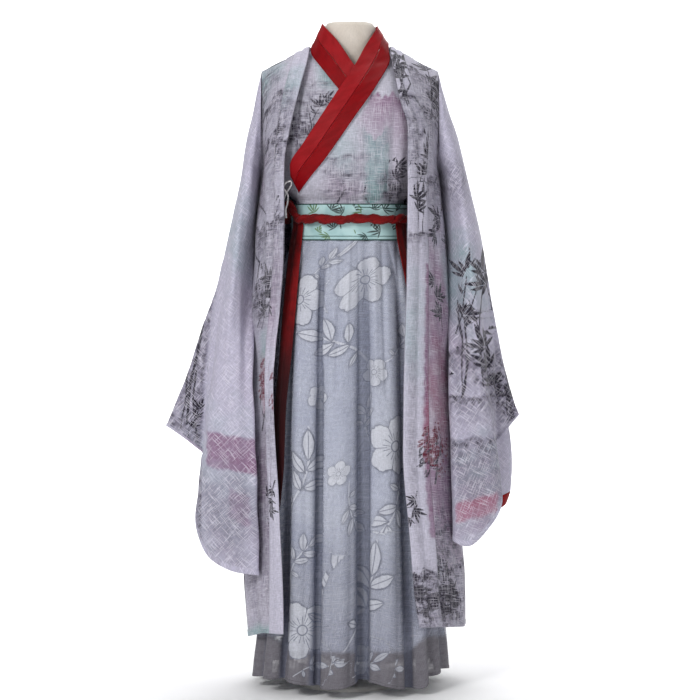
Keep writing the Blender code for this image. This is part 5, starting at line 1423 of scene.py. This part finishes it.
tie_path = curve_through(mm(*SIDE_TIE), 90)
tie = place(tube("side_tie", tie_path, TIE_DIAMETER / 2, 12, False, cotton), "tie", "top_side_tie")

# %% [markdown]
# ## The skirt
# Two layers are pleated into one waistband. The lining is a plain pale blue cloth that ends above the hem.
# Over it lies burnt-out organza: where the flowers and leaves are, the dull satin threads are left, and
# elsewhere they are etched away, so that only a sheer, finely ribbed ground remains. Each valley between two
# rounded pleats is given by its angle round the body. The hems rise and fall a little, because the pleats
# swing out.

# %% Skirt grids
WAIST_LOW, WAIST_HIGH = 0.957, 1.031
SKIRT_LAYER_GAP = 0.0019
SKIRT = mm(  # height, half widths to the left and right, depths to the front and back, depth of the pleats
    (54, 205, 207, 196, 202, 36), (160, 194.5, 200, 185, 191, 33), (350, 188, 190, 170, 177, 28),
    (600, 178, 179, 153, 161, 21), (800, 164, 164, 137, 146, 12), (880, 150, 150, 124, 131, 7),
    (930, 131, 131, 108, 110, 3.5), (956.7, 120, 120, 98.5, 96, 1.5),
)
VALLEYS = np.array([  # degrees round the body and how deep
    (-88, 0.7), (-67, 0.9), (-46, 1), (-21, 0.95), (6, 1.45), (38, 0.9), (52, 1.1), (70, 0.7), (92, 0.9),
    (113, 0.7), (135, 1), (156, 0.8), (178, 1.05), (200, 0.75), (223, 1), (247, 0.8), (272, 0.7),
])
OVERLAY_HEM = hem_level(
    (-88, 60), (-62, 68), (-38, 72), (-14, 61), (-3, 64), (3, 70), (8, 74), (16, 69), (29, 58), (43, 54.5),
    (49, 68), (70, 80), (95, 70), (140, 64), (180, 66), (225, 62), (272, 60))
LINING_HEM = hem_level(
    (-88, 150), (-38, 158), (-14, 122), (2, 108), (16, 112), (43, 118), (70, 130), (140, 126), (225, 132),
    (272, 150))
LEVELS = (0, 4, 8, 12, 18, 24, 30, 37, 44, 52, 60, 67, 74, 80, 85, 90, 93, 96, 98, 100)  # % of the way up
SKIRT_ROWS = np.array(LEVELS)[:, None] / 100


def skirt_grid(hem, steps):
    """The skirt's outer surface, closed round the body, its columns running from pleat to pleat."""
    u = (0.5 - 0.5 * np.cos(math.pi * np.arange(steps) / steps))[:, None]
    before, after = VALLEYS[:-1], VALLEYS[1:]
    angles, deep = ((before[:, k] + (after - before)[:, k] * u).T.ravel() for k in (0, 1))
    deep *= np.tile(abs(2 * u[:, 0] - 1) ** 2.3, len(before))
    z = hem(angles) + (WAIST_LOW - SEAM_GAP - hem(angles)) * SKIRT_ROWS
    return section_point(SKIRT, z, angles, -deep * smooth(SKIRT, 5, z))


overlay = Cloth(finer(skirt_grid(OVERLAY_HEM, 10), 150, 600, closed=True), closed=True)
coarse = skirt_grid(LINING_HEM, 8)
normals = normals_of(coarse, True)
normals[-1, :, 2] = 0
lining = Cloth(finer(coarse - normals * (GAUZE + SKIRT_LAYER_GAP), 84, 380, closed=True), closed=True)
SKIRT_CREASES = [
    (322, 236, 316, 735, 5, -9), (366, 236, 363, 735, 9, -14), (404, 300, 411, 735, 6, -9),
    (331, 236, 318, 400, 5, 5), (341, 238, 336, 400, 5, -5), (350, 238, 347, 330, 4, 3),
    (382, 238, 387, 400, 5, -5), (397, 238, 402, 360, 5, -4), (374, 236, 377, 420, 6, 4),
    (300, 300, 292, 735, 9, 3), (343, 420, 340, 735, 12, 3), (388, 420, 390, 735, 12, 3),
    (330, 450, 327, 735, 7, -2.6), (377, 500, 376, 735, 6, -2.6), (398, 450, 400, 735, 6, -3),
    (352, 480, 350, 735, 6, -2.4), (306, 420, 304, 735, 6, -3), (289, 460, 282, 735, 6, -5),
    (420, 560, 430, 735, 6, 5),
]
CREASES_BEHIND = [
    (290 + 12 * k + (k * 7) % 5, 236, 280 + 14 * k, 400 + (k * 53) % 340, 6, (-10, 7, -7)[k % 3])
    for k in range(11)
]
for cloth in (overlay, lining):
    crease(cloth, SKIRT_CREASES)
    crease(cloth, CREASES_BEHIND, behind=True)
print("overlay", overlay.grid.shape[:2], "lining", lining.grid.shape[:2])

# %% Places of the motifs
FLOWERS = [  # across, down, radius in m, turn in degrees
    (300, 300, 0.056, 10), (320, 398, 0.026, 0), (366, 280, 0.058, 36), (396, 446, 0.064, 20),
    (302, 632, 0.06, 50), (374, 372, 0.032, 0), (410, 652, 0.046, 30), (338, 476, 0.026, 15),
    (362, 660, 0.032, 60),
]
SPRAYS = [  # a radius below 0 mirrors the spray
    (338, 342, 0.08, 160), (392, 520, -0.088, 250), (305, 478, 0.082, 80), (330, 596, 0.092, 75),
    (392, 600, -0.094, 95), (366, 418, -0.046, 100), (352, 516, 0.054, 300), (300, 556, -0.056, 60),
    (326, 262, -0.044, 60), (404, 340, 0.052, 70), (386, 672, -0.04, 20), (330, 668, 0.046, 30),
]
for behind in (False, True):
    for word, rows, far in (("flower", FLOWERS, 1.3), ("spray", SPRAYS, 1.4)):
        for across, down, radius, turn in rows:
            spot = overlay.at(700 - across if behind else across, down, behind)
            overlay.set_motif((word,), spot, radius, turn, reach=far)
# Painted shade: below the lining's hem the shadowed inside of the skirt shows through the sheer cloth, so the
# grey wash darkens that band. It also darkens the cloth a little more towards the hem.
x, z = as_seen(overlay.grid)
edge = 0.1 + 0.035 * smooth_step(abs(x), 0.11, 0.17)
overlay.wash("grey", 0.75 * smooth_step(z, edge + 0.008, edge - 0.004) + 0.32 * smooth_step(z, 0.44, 0.18))
away = np.hypot(overlay.grid[..., 0], overlay.grid[..., 1])
inset = sum(np.roll(away, k, axis=1) for k in range(-24, 25)) / 49 - away
# On this cloth the second wash layer holds painted shade: the deeper in a fold a point lies, the darker it is
# painted.
overlay.wash("mauve", 0.9 * smooth_step(inset, 0.0005, 0.011))
print(len(FLOWERS), "flowers and", len(SPRAYS), "sprays on each side")

# %% [markdown]
# A flower has five lobed petals about an eye with fine rays. Its places give the distance and the angle round
# the eye, and from these the finish finds the rim, the lines between the petals and the rays.

# %% Flowers and sprays
organza, node, shader = finish("burnt_out_organza", Roughness=0.6, IOR=1.57, Specular_IOR_Level=0.3)
flat = node("UVMap", uv_map="flat")
wobble = node("TexNoise", flat, 60.0, 2.0)


def line_at(value, half_wide):
    """1 on a thin line where the value is 0."""
    return node("MapRange", node("ABSOLUTE", value), half_wide, half_wide * 0.4)


def most(*values):
    return reduce(partial(node, "MAXIMUM"), values)


_, x, y, on = motif_place(node, "flower", 1.0)
far = node("SQRT", node("MULTIPLY_ADD", x, x, node("MULTIPLY", y, y)))
angle = node("ARCTAN2", y, x)
lobe = node("ABSOLUTE", node("COSINE", node("MULTIPLY", angle, 2.5)))
rim = node("MULTIPLY_ADD", wobble, 0.22, node("MULTIPLY_ADD", node("POWER", lobe, 0.55), 0.38, 0.5))
inside = node("SUBTRACT", rim, far)
petals = node("MULTIPLY", node("MapRange", inside, 0.0, 0.02), on)
between = node("MULTIPLY", line_at(node("MULTIPLY", lobe, far), 0.05), node("MapRange", far, 0.3, 0.34))
rays = node("MapRange", node("COSINE", node("MULTIPLY", angle, 15.0)), 0.72, 0.94)
ring = node("MULTIPLY", node("MapRange", far, 0.2, 0.22), node("MapRange", far, 0.5, 0.42))
eye = line_at(node("SUBTRACT", far, 0.17), 0.035)
marks = node("MULTIPLY", most(between, node("MULTIPLY", rays, ring), eye, line_at(inside, 0.045)), on)

LEAVES = [
    # root x, root y, turn, length, half width, bend
    (0.42, 0.06, 14, 0.8, 0.16, 0.12), (0.1, 0.02, 62, 0.66, 0.14, -0.2), (0.18, 0.02, -46, 0.68, 0.15, 0.2),
    (-0.35, -0.02, 46, 0.58, 0.12, -0.15), (-0.28, -0.03, -60, 0.55, 0.13, 0.2),
    (-0.7, 0.1, 80, 0.4, 0.09, 0.1),
]
spot, x, y, on = motif_place(node, "spray", 1.0)
stem = line_at(node("SUBTRACT", y, node("MULTIPLY", node("MULTIPLY", x, x), 0.22)), 0.04)
stem = node("MULTIPLY", stem, node("MapRange", node("ABSOLUTE", x), 1.25, 1.2))
inside, rib = leaf_fan(node, spot, LEAVES)
inside = node("MULTIPLY_ADD", wobble, 0.05, node("SUBTRACT", inside, 0.025))
petals = most(petals, node("MULTIPLY", most(node("MapRange", inside, 0.0, 0.015), stem), on))
veins = most(node("MapRange", rib, 0.018, 0.006), line_at(inside, 0.03))
marks = most(marks, node("MULTIPLY", veins, on))
print("motifs of", len(organza.node_tree.nodes), "nodes")

# %% Burnt-out organza
RIB_MM = 2.6
wave = {"Vector": flat, "Scale": 1000 / RIB_MM / 20, "Distortion": 0.3, "Detail": 1.0}
ribs = node("TexWave", wave, bands_direction="Y", out=1)
slubs, _ = threads(node, flat, (2.0, 26.0), 0.55, 0.68)
_, fine = threads(node, flat, (1.8, 9.0), 0.35, 0.65)
cloudy = node("TexNoise", flat, 9.0, 4.0)
# The wash's second layer is painted shade deep in the folds, its third painted shade below the lining's hem.
_, deep, painted_hem_shade = node("SeparateColor", node("Attribute", attribute_name="wash")).node.outputs
ground = node("Mix", node("MapRange", cloudy, 0.35, 0.68), "#a2a6ba", "#b7bbcb")
ground = node("Mix", node("MULTIPLY", slubs, 0.5), ground, "#c9ccd8")
# Below the lining's hem: painted shade, on the ground and on the motifs.
ground = node("Mix", painted_hem_shade, ground, "#6f6c73")
motif = node("Mix", node("MULTIPLY", painted_hem_shade, 0.45), node("Mix", cloudy, "#b4b6c2", "#cdcfd7"), "#8f9098")
colour = node("Mix", petals, ground, motif)
colour = node("Mix", node("MULTIPLY", marks, 0.8), colour, "#6d7080")
# Painted shade deep in the folds.
colour = node("Mix", node("MULTIPLY", deep, 0.75), colour, "#5c6174")
colour = node("HueSaturation", colour, node("MULTIPLY_ADD", fine, 0.12, 0.84))
sheer = node("ADD", node("MULTIPLY_ADD", ribs, 0.1, 0.3), node("MULTIPLY", slubs, 0.15))
# The cloth is made less sheer where shade is painted: deep in a fold it lies doubled, and below the lining's
# hem the painted shade has to show.
sheer = node("MULTIPLY_ADD", painted_hem_shade, 0.55, node("MULTIPLY_ADD", deep, 0.4, sheer), use_clamp=True)
solid = node("Mix", {0: petals, 2: sheer, 3: 0.95}, data_type="FLOAT", out=0)
relief = node("ADD", node("MULTIPLY", petals, 1.5), node("MULTIPLY", fine, 0.4))
wire(shader, colour, (relief, 0.6, 0.0005), Alpha=solid, Roughness=node("MULTIPLY_ADD", petals, -0.14, 0.68))

# %% Lining
pale_lining, node, shader = finish("polyester_lining", Roughness=0.6, IOR=1.57, Specular_IOR_Level=0.3)
flat = node("UVMap", uv_map="flat")
_, weave = threads(node, flat, (1.6, 24.0), 0.35, 0.65)
colour = node("Mix", node("MapRange", node("TexNoise", flat, 6.0, 3.0), 0.3, 0.7), "#b9bdcd", "#cbced9")
wire(shader, node("HueSaturation", colour, node("MULTIPLY_ADD", weave, 0.09, 0.86)), (weave, 0.3, 0.0003))

# %% Laying the skirt
lay_hemmed("skirt_lining_cloth", lining, pale_lining, "lining", "skirt_lining", "gathered", "skirt_waistband",
           "skirt_lining_hem", width=0.01)
lay_hemmed("skirt_overlay_cloth", overlay, organza, "overlay", "skirt_overlay", "gathered", "skirt_waistband",
           "skirt_overlay_hem", width=0.005, proud=0.0005)

# %% [markdown]
# ### Waistband
# The band is mint satin, stiffened, with printed sprigs. Its edges are piped: a thin cord is covered with
# dark green cloth and sewn into the seam, which is a good way to give a soft band a firm edge.

# %% Waistband
WAISTBAND = mm((950, 120.6, 120.6, 99, 96), (1040, 120.6, 120.6, 99, 96))  # as for the other sections
levels = np.linspace(WAIST_LOW, WAIST_HIGH, 5)[:, None]
band = Cloth(finer(section_point(WAISTBAND, levels, np.arange(90) * 4.0 - 180), 26, 360, closed=True),
             closed=True)
crease(band, [(330, 232, 385, 234, 4, 0.9), (318, 222, 345, 228, 4, -0.8), (380, 226, 402, 222, 4, -0.8),
              (352, 210, 390, 209, 3, 0.6), (325, 212, 345, 213, 3, -0.6)])
SPRIGS = [  # across, down, turn, size in m, and 1 for olive or 2 for dark
    (318, 232, 50, 0.024, 1), (340, 231, 150, 0.024, 2), (350, 210, 30, 0.022, 2), (372, 231, 100, 0.028, 2),
    (390, 230, 75, 0.024, 2), (364, 213, 160, 0.02, 1), (398, 210, 110, 0.024, 2), (331, 209, 40, 0.022, 2),
    (384, 210, 20, 0.022, 2), (329, 236, 200, 0.02, 1), (380, 232, 160, 0.022, 2), (356, 235, 20, 0.018, 1),
    (343, 212, 140, 0.018, 2), (374, 209, 60, 0.018, 2), (314, 212, 100, 0.022, 1), (398, 234, 10, 0.022, 2),
    (334, 229, 110, 0.018, 2), (366, 236, 200, 0.016, 2),
]
for across, down, degrees, size, kind in SPRIGS:
    band.set_motif(FANS, band.at(across, down), 1.25 * size, degrees, kind=kind)
draws = np.random.default_rng(41)
for degrees in range(-172, 188, 14):
    if abs(degrees) > 70:
        across = section_point(WAISTBAND, WAIST_LOW, degrees)[0] / VIEW_PART + 350
        kind, down = draws.choice((1, 2)), draws.choice((209, 232))
        spot = band.at(across, down, behind=True)
        band.set_motif(FANS, spot, draws.uniform(0.018, 0.026), draws.uniform(0, 360), kind=kind)
print(band.motifs, "sprigs")

# %% Waistband finish
mint, node, shader = finish("printed_mint_satin", Roughness=0.5, IOR=1.57, Specular_IOR_Level=0.3)
flat = node("UVMap", uv_map="flat")
colour = node("Mix", node("MapRange", node("TexNoise", flat, 30.0, 4.0), 0.35, 0.68), "#97b9ba", "#aecdcd")
narrow = [(*leaf[:4], 0.6 * leaf[4], leaf[5]) for leaf in REED_TUFT]
for word in FANS:
    spot, _, _, *kinds = motif_place(node, word, 1.0, 2.0)
    inside = node("MapRange", leaf_fan(node, spot, narrow)[0], -0.022, 0.006)
    for here, hue in zip(kinds, ("#5d7a52", "#262f2e")):
        colour = node("Mix", node("MULTIPLY", inside, node("MULTIPLY", here, 0.92)), colour, hue)
ribs, _ = threads(node, flat, (1.1, 14.0), 0.35, 0.7)
wire(shader, colour, (ribs, 0.3, 0.0003))

# %% Piping
green = satin("dark_green_piping", "#33524b", "#223a35", 0.6)
pipes = []
for name, z, out, radius, start, end in (
    ("piping_low", WAIST_LOW + 0.0012, 0.0002, 0.0011, -180, 180),
    ("piping_high", WAIST_HIGH - 0.0009, 0.0002, 0.0011, -180, 180),
    ("piping_overlap", WAIST_HIGH - 0.0068, 0.0003, 0.0007, 4, 86),
    ("seam_low", WAIST_LOW + 0.0085, 0, 0.0007, -180, 180),
):
    whole = end == 180
    degrees = np.linspace(start, end, 260, endpoint=not whole)
    level = z - (0 if whole else 0.003 * np.clip((degrees - 4) / 40, 0, 1))
    path = section_point(WAISTBAND, level, degrees, out)
    pipes.append(place(tube(name, path, radius, 8, whole, green), "waistband"))
lay("waistband_band", band, mint, "waistband", "skirt_waistband", thick=0.0022,
    with_pieces=pipes)

# %% [markdown]
# ### The sash
# A long red sash is twisted into a rope round the waist, and its two tails hang flat. Twisted cloth isn't
# even: its two strands swell and thin out, and small folds run slantwise along them.

# %% Sash rope
SASH_RADIUS, SASH_LOBE, SASH_TURNS, SASH_HEIGHT = 0.008, 0.0016, 24, 1.000
SASH_RISE = {"height": 0.03, "degrees": -72.0, "spread": 13.0}  # where the knot lifts it
ROPE_POINTS = 500
sash_cloth = satin("red_crepe_sash", "#7a0509", "#5a0306", 0.62, 0.1)
degrees = 360 * np.arange(ROPE_POINTS) / ROPE_POINTS
off = (degrees - SASH_RISE["degrees"] + 180) % 360 - 180
height = SASH_HEIGHT + SASH_RISE["height"] * np.exp(-((off / SASH_RISE["spread"]) ** 2))
height += 0.0013 * np.sin(np.radians(degrees * 9)) + 0.0008 * np.sin(np.radians(degrees * 23 + 40))
path = section_point(WAISTBAND, height, degrees, SASH_RADIUS + SASH_LOBE + 0.0006)


def strands(i, a):
    i = i[:, None]
    turned_by = a - math.pi * SASH_TURNS * i / ROPE_POINTS - 0.5 * np.sin(i * 0.09) - 0.3 * np.sin(i * 0.23)
    swell = 0.0005 * np.sin(i * 0.071) + 0.0003 * np.sin(i * 0.19 + 1)
    folds = 0.00045 * np.sin(7 * turned_by + 1.5 * np.sin(i * 0.05)) + 0.0003 * np.sin(11 * turned_by)
    return SASH_LOBE * (2 * np.abs(np.cos(turned_by)) - 1.05) + swell + folds


rope = place(tube("sash_rope_cloth", path, SASH_RADIUS, 32, True, sash_cloth, strands), "sash", "sash_rope")
print("rope of", ROPE_POINTS, "rings")

# %% Sash tails
TAILS = {  # from the top: middle, height, half width, out from the skirt
    "left": mm((-101, 985, 10, 5.5), (-106, 945, 11.5, 6.5), (-115, 860, 12.5, 6), (-125, 740, 12, 6),
               (-136, 620, 11.5, 6.5), (-141, 500, 12, 7), (-150, 400, 12.5, 7), (-156, 320, 13, 7)),
    "right": mm((100, 985, 11, 6), (103, 945, 11.5, 9.5), (120, 860, 12, 9), (135, 740, 13, 8),
                (140, 600, 13, 7.5), (141, 460, 13, 7.5)),
}
draws = np.random.default_rng(53)
for word, side in SIDES.items():
    rows = curve_through(TAILS[word], 60)[::-1]
    rows = np.concatenate([rows, rows[-1] * (1, 1, 0.96, 1) + np.outer((0.005, 0.01, 0.014), (0, 1, 0, 0))])
    x, z, half_wide, out = rows.T[..., None]
    level = np.minimum(z, WAIST_LOW)
    grid = section_point(SKIRT, level, degrees_at(SKIRT, level, x + half_wide * np.linspace(-1, 1, 9)), out)
    grid[..., 2] = z
    cloth = Cloth(finer(grid, 220, 14))
    share = 2 * cloth.u / cloth.width[:, None] - 1
    fold = 0.0009 * np.exp(-(((share + 0.25 * side) / 0.18) ** 2))
    fold -= 0.0008 * np.exp(-(((share - 0.3 * side) / 0.15) ** 2))
    cloth.push(fold + 0.0006 * ripple(cloth.u, cloth.v, 0.05, draws))
    # Painted shade: the left tail gets darker from 0.86 m down to 0.66 m, where it hangs in the shadow
    # between the robe's front and the skirt.
    cloth.wash("mauve", 0.95 * smooth_step(cloth.grid[..., 2], 0.86, 0.66) * (word == "left"))
    lay("sash_tail_cloth_" + word, cloth, sash_cloth, "sash", "sash_tail_" + word,
        thick=0.0014)

# %% [markdown]
# ## The dress form and its stand
# The form is a plain padded body under a stretched cotton jersey, whose fine upright wales just show. Only
# its neck is seen. The stand is powder-coated steel, which has a fine orange-peel texture.

# %% Jersey form
FORM = mm(  # height, half width, depths to the front and back
    (800, 136, 100, 114), (840, 136, 100, 114), (880, 128, 94, 106), (930, 110, 82, 88),
    (965, 104.5, 78.5, 80), (1010, 103.5, 79, 80), (1060, 112, 94, 88), (1120, 127, 110, 96),
    (1170, 137, 122, 101), (1210, 145, 114, 101), (1242, 152, 96, 96), (1268, 154, 79, 86),
    (1287, 145, 65, 72), (1303, 124, 56, 63), (1317, 100, 51, 57), (1331, 73, 48, 52), (1348, 58, 48, 51),
    (1370, 53, 50, 51.5), (1392, 52, 50, 51), (1400, 46, 44, 45),
)[:, [0, 1, 1, 2, 3]]
jersey, node, shader = finish("cotton_jersey", Roughness=0.9, IOR=1.53, Sheen_Weight=0.3)
flat = node("UVMap", uv_map="flat")
_, weave = threads(node, flat, (1.3, 9.0), 0.35, 0.65)
colour = node("Mix", node("MapRange", node("TexNoise", flat, 12.0, 3.0), 0.3, 0.7), "#cdc3b7", "#d8cfc4")
wire(shader, node("HueSaturation", colour, node("MULTIPLY_ADD", weave, 0.06, 0.93)), (weave, 0.3, 0.0003))

body = section_point(FORM, np.linspace(FORM[0, 0], FORM[-1, 0], 80)[:, None], np.arange(72) * 5.0)
domed = [(0.9, 1.2), (0.75, 2.1), (0.5, 2.7), (0.25, 3.0), (0.0, 3.0)]  # share of the width, rise in mm
top = [body[-1] * (share, share, 1) + (0, 0, rise / 1000) for share, rise in domed]
bottom = [body[0] * (share, share, 1) for share in (0.0, 0.5)]
form = mesh_of("form_jersey", Cloth(np.concatenate([bottom, body, top]), closed=True), jersey)
place(form, "form", "form_torso")

# %% Steel stand
steel, node, shader = finish("powder_coated_steel", Roughness=0.5, IOR=1.5)
spots = node("TexCoord", out="Object")
peel, worn = (node("TexNoise", spots, *size, noise_dimensions="3D") for size in ((700.0, 2.0), (14.0, 4.0)))
colour = node("Mix", node("MapRange", worn, 0.4, 0.7), "#d9d7d3", "#cbc9c5")
wire(shader, colour, (peel, 0.25, 0.0003), Roughness=node("MULTIPLY_ADD", worn, 0.2, 0.4))
for word in ("stand_pole", "stand_base"):
    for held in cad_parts[word].material_slots:
        held.material = steel

# %% [markdown]
# ## Floor and light
# A pale floor curves up into a wall, so that no horizon shows. Two large soft lamps stand in front, one
# higher and brighter. Others light the shoulders, the wall and the back, and the surroundings give the rest.

# %% Floor
paper, node, shader = finish("studio_paper", Roughness=0.9)
wire(shader, node("Mix", node("TexNoise", {"Scale": 3.0}, noise_dimensions="3D"), "#f9f9fa", "#fcfcfc"))
bend = np.linspace(0.1, 1.57, 14)
profile = [(-9.0, 0.0), (5.4, 0.0), *zip(5.4 + 1.6 * np.sin(bend), 1.6 - 1.6 * np.cos(bend)), (7.0, 8.0)]
floor, _, _ = grid_mesh("studio_floor", np.array([[(x, y, z) for x in (-9.0, 9.0)] for y, z in profile]))
floor.data.shade_smooth()
floor.data.materials.append(paper)
print("floor of", len(profile), "rows")

# %% Lamps
def lamp(name, spot, aim, size, watts):
    light = bpy.data.lights.new(name, "AREA")
    light.shape, light.size, light.energy = "SQUARE", size, watts
    made = bpy.data.objects.new(name, light)
    bpy.context.scene.collection.objects.link(made)
    made.location = spot
    x, y, z = np.array(spot) - np.array(aim)
    made.rotation_euler = (math.atan2(math.hypot(x, y), z), 0, math.atan2(x, -y))


lamp("key_light", (-1.9, -3.1, 2.5), MIDDLE, 1.3, 86)
lamp("fill_light", (2.4, -3.2, 1.6), MIDDLE, 1.8, 30)
lamp("top_light", (0.2, 0.4, 3.2), MIDDLE, 1.2, 22)
lamp("wall_light", (0.0, 3.2, 4.6), (0.0, 6.9, 1.2), 2.4, 420)
lamp("back_light", (1.7, 3.4, 2.6), MIDDLE, 1.6, 40)
world = bpy.data.worlds.new("studio")
world.use_nodes = True
surroundings = world.node_tree.nodes["Background"]
surroundings.inputs[0].default_value, surroundings.inputs[1].default_value = linear("#f6f7fa"), 0.33
bpy.context.scene.world = world
bpy.context.scene.view_settings.view_transform = "Standard"
print(len(bpy.data.lights), "lamps")
